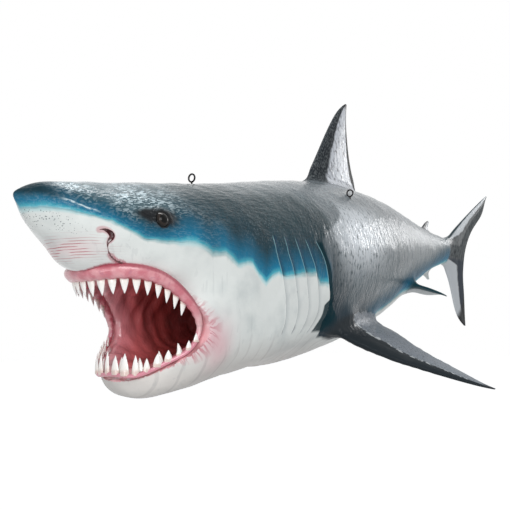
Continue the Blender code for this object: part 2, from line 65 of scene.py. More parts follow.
# Trunk stations: x, back, belly, half width
TRUNK_STATIONS = (
    (0.000, 0.044, 0.005, 0.014),
    (0.040, 0.053, -0.024, 0.046),
    (0.100, 0.061, -0.069, 0.081),
    (0.180, 0.072, -0.125, 0.114),
    (0.280, 0.086, -0.191, 0.138),
    (0.420, 0.106, -0.267, 0.163),
    (0.620, 0.140, -0.308, 0.188),
    (WIDEST_X, 0.178, -0.290, 0.203),
    (behind(0.248), 0.191, -0.236, 0.188),
    (behind(0.496), 0.164, -0.142, 0.136),
    (behind(0.702), 0.137, -0.056, 0.088),
    (behind(0.868), 0.126, -0.004, 0.052),
    (TAIL_ROOT_X, 0.119, 0.024, 0.030),
)
TRUNK_WIDEST = 0.535
TRUNK_FULLNESS = 2.08, 1.80
TRUNK_ROUNDS = 0.060, 0.050
JAW_STATIONS = (
    (0.195, -0.245, -0.303, 0.054),
    (0.240, -0.190, -0.331, 0.084),
    (0.320, -0.100, -0.336, 0.138),
    (0.430, -0.050, -0.319, 0.162),
    (0.600, -0.050, -0.298, 0.172),
    (0.860, -0.090, -0.230, 0.145),
)
JAW_WIDEST = 0.55
JAW_FULLNESS = 2.3, 2.45
JAW_ROUNDS = 0.070, 0.050
CAVITY_STATIONS = (
    (0.180, -0.100, -0.285, 0.060),
    (0.260, -0.092, -0.280, 0.098),
    (0.340, -0.098, -0.278, 0.108),
    (0.450, -0.120, -0.262, 0.104),
    (0.600, -0.140, -0.235, 0.070),
)
CAVITY_WIDEST = 0.5
CAVITY_FULLNESS = 2.3, 2.3
CAVITY_ROUNDS = 0.060, 0.060

# Lips, from the middle of the snout or chin round to the corner of the mouth: x, half width, height
UPPER_LIP = (
    (0.141, 0.000, -0.091),
    (0.165, 0.071, -0.089),
    (0.229, 0.111, -0.101),
    (0.296, 0.125, -0.145),
    (0.345, 0.134, -0.207),
)
LOWER_LIP = (
    (0.208, 0.000, -0.296),
    (0.221, 0.056, -0.298),
    (0.263, 0.100, -0.276),
    (0.307, 0.130, -0.249),
    (0.345, 0.134, -0.207),
)
MOUTH_MIDDLE = (0.270, 0.000, -0.195)
UPPER_GUM_RADIUS = 0.015
LOWER_GUM_RADIUS = 0.009
UPPER_GUM_INSET = 0.014
LOWER_GUM_INSET = 0.004
GAPE_REACH = 2 * UPPER_LIP[-1][1]
GAPE_FRONT = 0.020
GAPE_TOP_DROP = 0.045
GAPE_BOTTOM_RISE = 0.011

# Fins: rows from root to tip, with x from each fin's place: leading edge, trailing edge, half thickness
DORSAL_X = 0.880
DORSAL_FIN = (
    ((0.000, 0.0, 0.130), (0.390, 0.0, 0.130), 0.030),
    ((0.055, 0.0, 0.200), (0.382, 0.0, 0.200), 0.026),
    ((0.105, 0.0, 0.255), (0.348, 0.0, 0.255), 0.020),
    ((0.163, 0.0, 0.330), (0.326, 0.0, 0.330), 0.015),
    ((0.228, 0.0, 0.410), (0.319, 0.0, 0.410), 0.010),
    ((0.278, 0.0, 0.458), (0.323, 0.0, 0.458), 0.006),
    ((0.318, 0.0, 0.484), (0.329, 0.0, 0.484), 0.002),
)
SECOND_DORSAL_X = TAIL_ROOT_X - 0.325
SECOND_DORSAL_FIN = (
    ((0.000, 0.0, 0.105), (0.140, 0.0, 0.105), 0.010),
    ((0.055, 0.0, 0.147), (0.133, 0.0, 0.147), 0.007),
    ((0.137, 0.0, 0.181), (0.149, 0.0, 0.181), 0.002),
)
ANAL_X = TAIL_ROOT_X - 0.320
ANAL_FIN = (
    ((0.000, 0.0, 0.010), (0.110, 0.0, 0.010), 0.010),
    ((0.040, 0.0, -0.034), (0.112, 0.0, -0.034), 0.007),
    ((0.106, 0.0, -0.062), (0.118, 0.0, -0.062), 0.002),
)
TAIL_FIN = (
    ((0.325, 0.0, -0.252), (0.344, 0.0, -0.252), 0.002),
    ((0.210, 0.0, -0.200), (0.318, 0.0, -0.200), 0.007),
    ((0.118, 0.0, -0.110), (0.279, 0.0, -0.110), 0.012),
    ((0.038, 0.0, -0.030), (0.240, 0.0, -0.030), 0.017),
    ((-0.050, 0.0, 0.035), (0.228, 0.0, 0.035), 0.023),
    ((-0.040, 0.0, 0.100), (0.236, 0.0, 0.100), 0.023),
    ((0.095, 0.0, 0.185), (0.297, 0.0, 0.185), 0.014),
    ((0.240, 0.0, 0.262), (0.402, 0.0, 0.262), 0.009),
    ((0.370, 0.0, 0.326), (0.438, 0.0, 0.326), 0.006),
    ((0.448, 0.0, 0.362), (0.460, 0.0, 0.362), 0.002),
)
TAIL_TWIST_DEG = 9.0
TAIL_TWIST_HEIGHT = 0.060
PECTORAL_X = 0.760
PECTORAL_ROOT_Y = -0.100
PECTORAL_SPAN = 0.380


def outboard(share):
    """y at a share of the way from the root of the left pectoral fin to its tip."""
    return PECTORAL_ROOT_Y - share * PECTORAL_SPAN


PECTORAL_FIN = (
    ((0.000, outboard(0.00), -0.190), (0.330, outboard(-0.08), -0.190), 0.034),
    ((0.030, outboard(0.17), -0.232), (0.332, outboard(0.17), -0.228), 0.028),
    ((0.082, outboard(0.39), -0.280), (0.324, outboard(0.39), -0.278), 0.021),
    ((0.113, outboard(0.52), -0.304), (0.312, outboard(0.52), -0.302), 0.017),
    ((0.144, outboard(0.65), -0.324), (0.290, outboard(0.65), -0.322), 0.014),
    ((0.176, outboard(0.78), -0.344), (0.270, outboard(0.78), -0.342), 0.010),
    ((0.207, outboard(0.91), -0.362), (0.250, outboard(0.91), -0.362), 0.006),
    ((0.223, outboard(1.00), -0.372), (0.234, outboard(1.00), -0.372), 0.002),
)
PELVIC_X = behind(0.347)
PELVIC_FIN = (
    ((0.000, -0.095, -0.060), (0.160, -0.050, -0.090), 0.012),
    ((0.060, -0.150, -0.090), (0.190, -0.110, -0.125), 0.009),
    ((0.130, -0.190, -0.117), (0.185, -0.180, -0.128), 0.006),
    ((0.176, -0.210, -0.133), (0.186, -0.208, -0.135), 0.002),
)
FIN_TRAILING_SHARE = 0.35

# Gill slits, eyes, nostrils, teeth and screw eyes
GILL_COUNT = 5
GILL_FRONT = 0.518
GILL_PITCH = 0.037
GILL_TOP = -0.012
GILL_BOTTOM = -0.232
FLAP_LIFT = 0.0030
LAST_FLAP_LIFT = 0.0060
RECESS_DEPTH = 0.0040
RECESS_LENGTH = 0.060
EYE_X = 0.225
EYE_HEIGHT = -0.006
EYE_RADIUS = 0.016
EYE_SINK = 0.008
UPPER_TEETH = 10
LOWER_TEETH = 9
TOOTH_PITCH = 0.0225
TOOTH_ROOT = 0.008
TOOTH_THINNESS = 0.45
UPPER_TOOTH_LENGTH = 0.026, 0.019
LOWER_TOOTH_LENGTH = 0.033, 0.014
TOOTH_HALF_WIDTH = 0.0094, 0.0066
UPPER_TOOTH_LEAN = 0.20
LOWER_TOOTH_LEAN = -0.05
RING_RADIUS = 0.0088
WIRE_RADIUS = 0.0020
SHANK_DEPTH = 0.024
SHANK_RISE = 0.003
FRONT_EYE_X = 0.450
REAR_EYE_X = 0.925
REAR_EYE_REACH = 0.146

# How the slits lean back: share of the way down, sweep of the first slit, and what it adds to the pitch
GILL_LEAN = (
    (0.00, 0.000, 0.0000), (0.14, 0.001, 0.0026), (0.28, 0.011, 0.0043), (0.46, 0.026, 0.0051),
    (0.65, 0.038, 0.0077), (0.79, 0.041, 0.0086), (0.92, 0.038, 0.0045), (1.00, 0.035, 0.0030),
)

# Where the dark back meets the pale belly: x and height on the flank
PAINT_LINE = (
    (-0.010, 0.001), (0.012, 0.001), (0.025, 0.002), (0.040, 0.003), (0.060, 0.001), (0.077, -0.003),
    (0.094, -0.007), (0.111, -0.011), (0.129, -0.016), (0.146, -0.024), (0.160, -0.029), (0.195, -0.044),
    (0.224, -0.046), (0.264, -0.048), (0.298, -0.045), (0.315, -0.051), (0.339, -0.062), (0.357, -0.060),
    (0.372, -0.059), (0.389, -0.071), (0.407, -0.082), (0.433, -0.077), (0.448, -0.079), (0.466, -0.100),
    (0.489, -0.118), (0.508, -0.101), (0.526, -0.094), (0.542, -0.103), (0.578, -0.100), (0.608, -0.094),
    (0.659, -0.091), (0.681, -0.114), (0.700, -0.112), (0.722, -0.118), (0.738, -0.160), (0.764, -0.232),
    (0.860, -0.243), (1.000, -0.216), (1.150, -0.172), (1.270, -0.130), (1.400, -0.100), (1.600, -0.066),
    (1.800, -0.020), (2.000, 0.020), (2.100, 0.020),
)

# The photograph's camera, and its size in pixels
CAMERA_PLACE = (-0.6462, -0.9548, -0.1884)
CAMERA_YAW_DEG = 54.345
CAMERA_PITCH_DEG = 5.419
CAMERA_ROLL_DEG = -1.374
FOCAL_PIXELS = 660.18
PHOTO_PIXELS = 510
SENSOR_MM = 36.0


class Curve:
    """A natural cubic spline through (x, value) points, for single numbers and arrays."""

    def __init__(self, points):
        self.xs, self.ys = np.array(points, float).T
        self.step = np.diff(self.xs)
        matrix, load = np.eye(len(self.xs)), np.zeros(len(self.xs))
        for i in range(1, len(self.xs) - 1):
            before, after = self.step[i - 1], self.step[i]
            matrix[i, i - 1 : i + 2] = before, 2 * (before + after), after
            rise, fall = self.ys[i + 1] - self.ys[i], self.ys[i] - self.ys[i - 1]
            load[i] = 6 * (rise / after - fall / before)
        self.bend = np.linalg.solve(matrix, load)

    def __call__(self, x):
        x = np.asarray(x, float)
        i = np.clip(np.searchsorted(self.xs, x) - 1, 0, len(self.xs) - 2)
        span, ahead, past = self.step[i], self.xs[i + 1] - x, x - self.xs[i]
        cubic = (self.bend[i] * ahead**3 + self.bend[i + 1] * past**3) / (6 * span)
        start = self.ys[i] / span - self.bend[i] * span / 6
        end = self.ys[i + 1] / span - self.bend[i + 1] * span / 6
        return cubic + start * ahead + end * past


def smooth_path(points):
    """A smooth 3D path through points, as a function of fractions from 0 to 1."""
    steps = np.linspace(0, 1, len(points))
    curves = [Curve(list(zip(steps, column))) for column in zip(*points)]
    return lambda fraction: np.stack([curve(fraction) for curve in curves], -1)


def unit(rows):
    """Each row made one unit long."""
    return rows / np.linalg.norm(rows, axis=1)[:, None]


def rounded(distance, radius):
    """How full a section is at a distance from a rounded end: 0 at the end, 1 past its radius."""
    short = np.clip(1 - distance / radius, 0, 1)
    return np.sqrt(1 - short**2)


class Hull:
    """A rounded long body given by stations, with an oval section at every x."""

    def __init__(self, stations, widest, fullness, rounds):
        self.top, self.bottom, self.half_width = (
            Curve([(row[0], row[i]) for row in stations]) for i in (1, 2, 3)
        )
        self.front, self.rear = stations[0][0], stations[-1][0]
        self.widest, self.fullness, self.rounds = widest, fullness, rounds

    def section(self, x):
        """Height of the widest line, rise above it, drop below it and half width at x."""
        x = np.clip(x, self.front, self.rear)
        top, bottom = self.top(x), self.bottom(x)
        middle = bottom + self.widest * (top - bottom)
        full = rounded(x - self.front, self.rounds[0]) * rounded(self.rear - x, self.rounds[1])
        return middle, (top - middle) * full, (middle - bottom) * full, self.half_width(x) * full

    def points(self, x, turn):
        """The skin's points at x and an angle from the back, going round by the left side."""
        middle, rise, drop, half_width = self.section(x)
        up, across = np.cos(turn), np.sin(turn)
        power = 2 / np.where(up > 0, *self.fullness)
        height = np.where(up > 0, rise, -drop) * np.abs(up) ** power
        out = -half_width * np.sign(across) * np.abs(across) ** power
        return np.stack([x, out, middle + height], -1)

    def reach(self, x, z):
        """The half width of the skin at x and height z."""
        middle, rise, drop, half_width = self.section(x)
        fullness = np.where(z > middle, *self.fullness)
        share = np.minimum(np.abs(z - middle) / np.where(z > middle, rise, drop), 1)
        return half_width * (1 - share**fullness) ** (1 / fullness)

    def height(self, x, y):
        """The height of the back at x and distance y from the middle."""
        middle, rise, _, half_width = self.section(x)
        share = np.minimum(np.abs(y) / half_width, 1)
        return middle + rise * (1 - share ** self.fullness[0]) ** (1 / self.fullness[0])

    def outward(self, x, z, step=0.002):
        """The left skin's outward direction at x and height z."""
        slope_x = (self.reach(x + step, z) - self.reach(x - step, z)) / (2 * step)
        slope_z = (self.reach(x, z + step) - self.reach(x, z - step)) / (2 * step)
        return Vector((-slope_x, -1, -slope_z)).normalized()


TRUNK = Hull(TRUNK_STATIONS, TRUNK_WIDEST, TRUNK_FULLNESS, TRUNK_ROUNDS)
JAW = Hull(JAW_STATIONS, JAW_WIDEST, JAW_FULLNESS, JAW_ROUNDS)
CAVITY = Hull(CAVITY_STATIONS, CAVITY_WIDEST, CAVITY_FULLNESS, CAVITY_ROUNDS)
SWEEP = Curve([row[:2] for row in GILL_LEAN])
WIDENING = Curve([row[::2] for row in GILL_LEAN])
RING_LIFT = WIRE_RADIUS + RING_RADIUS + SHANK_RISE
HANG_POINT = Vector((FRONT_EYE_X, 0, float(TRUNK.height(FRONT_EYE_X, 0)) + RING_LIFT))
HANG = np.array(HANG_POINT)


# Shapes

WELD = 1e-6
JOIN_REACH = 0.0002
CUT_REACH = 0.0001


def add_object(name, shape):
    """Link a bmesh to the scene as an object, measured from the hanging point."""
    bmesh.ops.translate(shape, verts=shape.verts, vec=-HANG_POINT)
    bmesh.ops.recalc_face_normals(shape, faces=shape.faces)
    mesh = bpy.data.meshes.new(name)
    shape.to_mesh(mesh)
    shape.free()
    mesh.shade_smooth()
    obj = bpy.data.objects.new(name, mesh)
    bpy.context.scene.collection.objects.link(obj)
    return obj


def rolled_grid(rings, sides, place, finish=0):
    """A tube rolled from a flat grid. Open ends are capped and ends drawn to a point are merged."""
    shape = bmesh.new()
    bmesh.ops.create_grid(shape, x_segments=rings, y_segments=sides, size=0.5)
    flat = np.array([vertex.co[:2] for vertex in shape.verts]) + 0.5
    for vertex, co in zip(shape.verts, place(flat[:, 0], flat[:, 1])):
        vertex.co = co
    bmesh.ops.remove_doubles(shape, verts=shape.verts, dist=WELD)
    bmesh.ops.holes_fill(shape, edges=[edge for edge in shape.edges if edge.is_boundary])
    for face in shape.faces:
        face.material_index = finish
    return shape


def hull_shape(hull, rings, sides, stops, finish=0):
    """A hull's skin. Stops spread its rings: pairs of a share of the rings and an x."""
    shares, places = zip(*stops)

    def place(along, around):
        return hull.points(np.interp(along, shares, places), 2 * np.pi * (around + 0.5 / sides))

    return rolled_grid(rings, sides, place, finish)


def fin_edges(place_x, rows):
    """A fin's leading and trailing edges as paths from root to tip."""
    return [smooth_path([(place_x + row[i][0], *row[i][1:]) for row in rows]) for i in (0, 1)]


def fin_shape(place_x, rows, sheet_normal, spans, sides, finish):
    """A fin lofted through rows, round at its leading edge and thin at its trailing edge."""
    lead, trail = fin_edges(place_x, rows)
    thickness = Curve([(i / (len(rows) - 1), row[2]) for i, row in enumerate(rows)])

    def place(along, around):
        turn = 2 * np.pi * around
        forward = (1 + np.cos(turn)) / 2
        fullness = FIN_TRAILING_SHARE + (1 - FIN_TRAILING_SHARE) * forward
        swell = thickness(along) * np.sin(turn) * fullness
        front, back = lead(along), trail(along)
        return back + (front - back) * forward[:, None] + np.outer(swell, sheet_normal)

    return rolled_grid(spans, sides, place, finish)


def side_sheet(rows):
    """The direction across a paired fin's sheet, from its first and last rows."""
    out = Vector(rows[-1][0]) - Vector(rows[0][0])
    back = Vector(rows[0][1]) - Vector(rows[0][0])
    return out.cross(back).normalized()


def mirrored(shape):
    """A copy of a left piece for the right side."""
    copy = shape.copy()
    bmesh.ops.scale(copy, verts=copy.verts, vec=(1, -1, 1))
    bmesh.ops.reverse_faces(copy, faces=copy.faces)
    return copy


def paired(name, shape):
    return [add_object(f"{name}_right", mirrored(shape)), add_object(f"{name}_left", shape)]


def combine(obj, operation, tools):
    """Join tools to an object or cut it with them, for good."""
    group = bpy.data.collections.new("tools")
    for tool in tools:
        group.objects.link(tool)
    modifier = obj.modifiers.new("combine", "BOOLEAN")
    modifier.operation = operation
    modifier.solver = "MANIFOLD"
    modifier.operand_type = "COLLECTION"
    modifier.collection = group
    made = obj.evaluated_get(bpy.context.evaluated_depsgraph_get())
    mesh = bpy.data.meshes.new_from_object(made)
    obj.modifiers.clear()
    obj.data = mesh
    bpy.data.collections.remove(group)
    for tool in tools:
        bpy.data.objects.remove(tool)


def tidy_mesh(obj, reach):
    """Merge points closer than reach and drop flat slivers."""
    shape = bmesh.new()
    shape.from_mesh(obj.data)
    bmesh.ops.remove_doubles(shape, verts=shape.verts, dist=reach)
    bmesh.ops.dissolve_degenerate(shape, edges=shape.edges, dist=reach / 4)
    shape.to_mesh(obj.data)
    shape.free()


# Working on a finished mesh's points

def read(items, name, kind, width=1):
    """One property of all of a mesh's items, in rows where it has a width."""
    values = np.zeros(len(items) * width, kind)
    items.foreach_get(name, values)
    return values.reshape(-1, width) if width > 1 else values


def read_points(mesh):
    return read(mesh.vertices, "co", float, 3)


def write_points(mesh, points):
    mesh.vertices.foreach_set("co", points.ravel())
    mesh.update()


def read_edges(mesh):
    return read(mesh.edges, "vertices", int, 2)


def face_finish(mesh):
    return read(mesh.polygons, "material_index", int)


def touching(mesh, chosen_faces):
    """Which points are on chosen faces."""
    loops, sizes = read(mesh.loops, "vertex_index", int), read(mesh.polygons, "loop_total", int)
    hit = np.zeros(len(mesh.vertices), bool)
    hit[loops[np.repeat(chosen_faces, sizes)]] = True
    return hit


def soften(points, edges, weights, rounds):
    """Move each point towards the middle of its neighbours, as far as its weight says."""
    count = np.bincount(edges.ravel(), minlength=len(points)).astype(float)
    one, two = edges.T
    for _ in range(rounds):
        total = np.zeros_like(points)
        for axis in range(points.shape[1]):
            total[:, axis] = np.bincount(one, points[two, axis], len(points))
            total[:, axis] += np.bincount(two, points[one, axis], len(points))
        points = points + weights[:, None] * (total / count[:, None] - points)
    return points


def ring_edges(count):
    """The edges of a closed line of points."""
    return np.stack([np.arange(count), np.roll(np.arange(count), -1)], -1)


def spread(points, edges, seeds, limit):
    """Distance along the mesh's edges from the seed points, up to a limit."""
    distance = np.where(seeds, 0.0, limit)
    one, two = edges.T
    length = np.linalg.norm(points[one] - points[two], axis=1)
    for _ in range(60):
        before = distance.copy()
        np.minimum.at(distance, one, before[two] + length)
        np.minimum.at(distance, two, before[one] + length)
        if np.abs(before - distance).max() < 1e-5:
            break
    return distance


def concave_creases(mesh, least_deg):
    """Which points are on a fold that turns inwards by more than an angle."""
    shape = bmesh.new()
    shape.from_mesh(mesh)
    hit = np.zeros(len(mesh.vertices), bool)
    least = math.radians(least_deg)
    for edge in shape.edges:
        if len(edge.link_faces) == 2 and edge.calc_face_angle_signed(0) < -least:
            hit[edge.verts[0].index] = hit[edge.verts[1].index] = True
    shape.free()
    return hit


def give(mesh, name, values):
    layer = mesh.attributes.new(name, "FLOAT", "POINT")
    layer.data.foreach_set("value", np.asarray(values, np.float32))


def bump_at(points, centre, reach):
    """1 at a centre, falling smoothly to 0 a reach or two away."""
    gap = (points - np.array(centre)) / np.array(reach)
    return np.exp(-(gap**2).sum(axis=1))


# The body's moulding

FINISHES = 7
SKIN, LINING, DORSAL_SKIN, TAIL_SKIN, PECTORAL_SKIN, PELVIC_SKIN, SMALL_SKIN = range(FINISHES)
PAIRED_SKINS = PECTORAL_SKIN, PELVIC_SKIN

# Each fin's name, place, rows, spans, sides and finish
FINS = (
    ("dorsal", DORSAL_X, DORSAL_FIN, 56, 60, DORSAL_SKIN),
    ("second_dorsal", SECOND_DORSAL_X, SECOND_DORSAL_FIN, 16, 32, SMALL_SKIN),
    ("anal", ANAL_X, ANAL_FIN, 16, 32, SMALL_SKIN),
    ("tail", TAIL_ROOT_X, TAIL_FIN, 84, 52, TAIL_SKIN),
    ("pectoral", PECTORAL_X, PECTORAL_FIN, 76, 60, PECTORAL_SKIN),
    ("pelvic", PELVIC_X, PELVIC_FIN, 30, 36, PELVIC_SKIN),
)

# The paint's guide for each fin finish, and the fin that its shares of chord and span are taken on
FIN_GUIDES = {
    DORSAL_SKIN: ("dorsal", DORSAL_X, DORSAL_FIN),
    TAIL_SKIN: ("tail", TAIL_ROOT_X, TAIL_FIN),
    PECTORAL_SKIN: ("pectoral", PECTORAL_X, PECTORAL_FIN),
    PELVIC_SKIN: ("pelvic", PELVIC_X, PELVIC_FIN),
    SMALL_SKIN: ("small", SECOND_DORSAL_X, SECOND_DORSAL_FIN),
}
TAIL_TWIST = Matrix.Rotation(math.radians(TAIL_TWIST_DEG), 3, "X")
TAIL_TWIST_CENTRE = 0, 0, TAIL_TWIST_HEIGHT
TRUNK_STOPS = (0, 0), (0.02, 0.004), (0.09, 0.040), (0.43, 0.50), (0.71, 0.76), (1, TAIL_ROOT_X)
JAW_STOPS = (0, 0.195), (0.08, 0.203), (0.55, 0.45), (1, 0.86)
CAVITY_STOPS = (0, 0.180), (1, 0.600)
GAPE_STEPS = 34
GAPE_CORNER_GROWTH = 0.007
SLIT_HALF_WIDTH = 0.0016
SLIT_DEPTH = 0.008
NOSTRIL = (
    (0.115, -0.031), (0.124, -0.031), (0.136, -0.040), (0.135, -0.051), (0.139, -0.062), (0.149, -0.074),
    (0.161, -0.082), (0.176, -0.088),
)
NOSTRIL_HALF_WIDTH = (
    (0, 0.0006), (0.10, 0.0018), (0.24, 0.0046), (0.36, 0.0052), (0.46, 0.0024), (0.56, 0.0009), (1, 0.0006),
)

# Rounding and moulding of the skin, with bulges given by height, then centre and reach
HEAD_END = 0.70
JUNCTION_LEAST_DEG = 9
SHARP_FOLD_DEG = 50
JUNCTION_PASSES = (60, 0.050), (30, 0.028), (12, 0.014)
EYE_RIM_HEIGHT = 0.0026
EYE_SOCKET_DEPTH = 0.0020
CHIN_PULL = 0.007
SNOUT_BULGE = 0.011
SNOUT_BULGE_PLACE = (0.110, 0.0, -0.084), (0.034, 0.052, 0.032)
FIN_MOUND = 0.010
FIN_MOUND_PLACE = (0.850, -0.170, -0.185), (0.034, 0.022, 0.024)
SKIN_UNEVENNESS = 0.0011
FIN_UNEVENNESS = 0.0010
FOLD_HEIGHT = 0.0016
LUMP_HEIGHT = 0.0022
BOX_MARGIN = 0.0002
LOWER_GUM_SHIFT = -0.006
LOWER_TOOTH_SHIFT = 0.004
TOOTH_GROWTH = 1.16
INNER_TOOTH_INSET = 0.014
INNER_TOOTH_DROP = 0.004
INNER_TOOTH_SHARES = 0.6, 0.7


def gape_shape():
    """The open mouth's side outline, carried right across the head."""
    upper, lower = smooth_path(UPPER_LIP), smooth_path(LOWER_LIP)
    steps = np.linspace(0, 1, GAPE_STEPS)
    bottom, top = LOWER_LIP[0][2] + GAPE_BOTTOM_RISE, UPPER_LIP[0][2] - GAPE_TOP_DROP
    front = [(GAPE_FRONT, 0, bottom), (GAPE_FRONT, 0, top)]
    outline = np.concatenate([upper(steps), lower(steps[-2::-1]), front])
    sides = len(outline)
    corner = np.abs(np.arange(sides) - len(steps) + 1)
    outline[:, 0] += GAPE_CORNER_GROWTH * np.exp(-((corner / 2.0) ** 2))
    outline = soften(outline, ring_edges(sides), 0.8 * np.exp(-((corner / 3.5) ** 2)), 14)

    def place(along, around):
        made = outline[np.round(around * sides).astype(int) % sides].copy()
        made[:, 1] = GAPE_REACH * (2 * along - 1)
        return made

    return rolled_grid(90, sides, place, LINING)


def body_moulding():
    """Trunk, jaw and fins as one skin, with the open mouth cut into it."""
    body = add_object("shark_moulding", hull_shape(TRUNK, 360, 132, TRUNK_STOPS))
    solids = [add_object("jaw", hull_shape(JAW, 130, 110, JAW_STOPS))]
    for name, place_x, rows, spans, sides, finish in FINS:
        if finish in PAIRED_SKINS:
            solids += paired(name, fin_shape(place_x, rows, side_sheet(rows), spans, sides, finish))
            continue
        fin = fin_shape(place_x, rows, Vector((0, 1, 0)), spans, sides, finish)
        if finish == TAIL_SKIN:
            bmesh.ops.rotate(fin, verts=fin.verts, cent=TAIL_TWIST_CENTRE, matrix=TAIL_TWIST)
        solids.append(add_object(name, fin))
    for obj in [body] + solids:
        with_finishes(obj)
    combine(body, "UNION", solids)
    tidy_mesh(body, JOIN_REACH)
    round_junctions(body.data)
    cavity = hull_shape(CAVITY, 90, 84, CAVITY_STOPS, LINING)
    cuts = [add_object("gape", gape_shape()), add_object("cavity", cavity)]
    for index in range(GILL_COUNT):
        cuts += paired(f"gill_{index}", gill_shape(index))
    cuts += paired("nostril", nostril_shape())
    for cut in cuts:
        with_finishes(cut)
    combine(body, "DIFFERENCE", cuts)
    tidy_mesh(body, CUT_REACH)
    return body


def with_finishes(obj):
    """Room on an object for every finish number its faces may carry."""
    for _ in range(FINISHES):
        obj.data.materials.append(None)


def round_junctions(mesh):
    """Blend the fins and the jaw into the trunk where they meet it."""
    points, edges = read_points(mesh), read_edges(mesh)
    seeds = concave_creases(mesh, JUNCTION_LEAST_DEG) & touching(mesh, face_finish(mesh) == SKIN)
    head = points[:, 0] + HANG[0] < HEAD_END
    for rounds, reach in JUNCTION_PASSES:
        gap = spread(points, edges, seeds, 0.12)
        width = np.where(head, 1.6 * reach, reach)
        weights = 0.6 * np.exp(-((gap / width) ** 2))
        weights[gap > 2.2 * width] = 0
        points = soften(points, edges, weights, rounds)
    write_points(mesh, points)


def tube_shape(path, size, rings, sides):
    """A tube for a cut, along a path, with its two half sizes given at each share of the way."""

    def place(along, around):
        centre, one, two = path(along)
        first, second = size(along)
        turn = 2 * np.pi * around
        return centre + one * (first * np.cos(turn))[:, None] + two * (second * np.sin(turn))[:, None]

    return rolled_grid(rings, sides, place, LINING)


def flank_reach(x, z):
    """The half width of trunk and jaw together at x and height z."""
    with np.errstate(all="ignore"):
        return np.maximum(TRUNK.reach(x, z), np.nan_to_num(JAW.reach(x, z)))


def flank_path(line):
    """A path on the left flank, from a function giving x and z at each share."""

    def path(along):
        x, z = line(along)
        centre = np.stack([x, -flank_reach(x, z), z], -1)
        ahead = unit(np.stack(line(along + 0.01), -1) - np.stack(line(along - 0.01), -1))
        across = np.stack([ahead[:, 1], 0 * x, -ahead[:, 0]], -1)
        return centre, across, np.tile((0.0, 1.0, 0.0), (len(x), 1))

    return path


def gill_line(index):
    def line(down):
        x = GILL_FRONT + SWEEP(down) + index * (GILL_PITCH + WIDENING(down))
        return x, GILL_TOP + (GILL_BOTTOM - GILL_TOP) * down

    return line


def gill_shape(index):
    """A thin curved blade that sinks one gill slit into the left side."""

    def size(down):
        taper = np.sqrt(np.clip(1 - (2 * down - 1) ** 4, 0.01, 1))
        return SLIT_HALF_WIDTH * taper, SLIT_DEPTH * taper

    return tube_shape(flank_path(gill_line(index)), size, 40, 8)


def nostril_line(share):
    track = smooth_path(NOSTRIL)(share)
    return track[:, 0], track[:, 1]


def nostril_shape():
    """A comma-shaped groove on the left of the snout, with a thin tail that runs to the lip."""

    def size(share):
        half = np.interp(share, *zip(*NOSTRIL_HALF_WIDTH))
        return half, 1.3 * half

    return tube_shape(flank_path(nostril_line), size, 60, 12)


# Moulding the finished skin's points

def eye_centre():
    surface = Vector((EYE_X, -float(TRUNK.reach(EYE_X, EYE_HEIGHT)), EYE_HEIGHT))
    return surface - TRUNK.outward(EYE_X, EYE_HEIGHT) * EYE_SINK


def round_lips(mesh):
    """Round the edge between the skin and the mouth's lining."""
    points, edges = read_points(mesh), read_edges(mesh)
    lining = touching(mesh, face_finish(mesh) == LINING)
    skin = touching(mesh, face_finish(mesh) == SKIN)
    place = points + HANG
    mouth = (place[:, 0] < 0.36) & (np.abs(place[:, 1]) < 0.15) & (place[:, 2] < -0.07)
    near_nostril = bump_at(place, (0.14, -0.09, -0.05), (0.03, 0.03, 0.02)) > 0.3
    lip = lining & skin & mouth & ~near_nostril
    gap = spread(points, edges, lip, 0.04)
    weights = 0.5 * np.exp(-((gap / 0.006) ** 2))
    weights[gap > 0.014] = 0
    points = soften(points, edges, weights, 12)
    deep = lining & (gap > 0.004) & mouth_side(place)
    write_points(mesh, soften(points, edges, 0.6 * deep, 30))
    return lip


def mouth_side(place):
    """Which points are in the mouth, not in a gill slit or a nostril."""
    slit = (place[:, 0] > 0.50) & (np.abs(place[:, 1]) > 0.112)
    nostril = (place[:, 0] < 0.20) & (place[:, 2] > -0.0925)
    return ~slit & ~nostril


def ripple(points, size, seed):
    """Smooth hand-made unevenness between -1 and 1, about a given size across."""
    random = np.random.default_rng(seed)
    total = np.zeros(len(points))
    for _ in range(9):
        way = random.normal(size=3)
        way *= 2 * np.pi / size / np.linalg.norm(way) * random.uniform(0.6, 1.5)
        total += np.sin(points @ way + random.uniform(0, 6.28))
    return total / 4.5


def left_twin(points):
    """Each point, or its twin on the left side."""
    return points * np.where(points[:, 1:2] > 0, (1, -1, 1), (1, 1, 1))


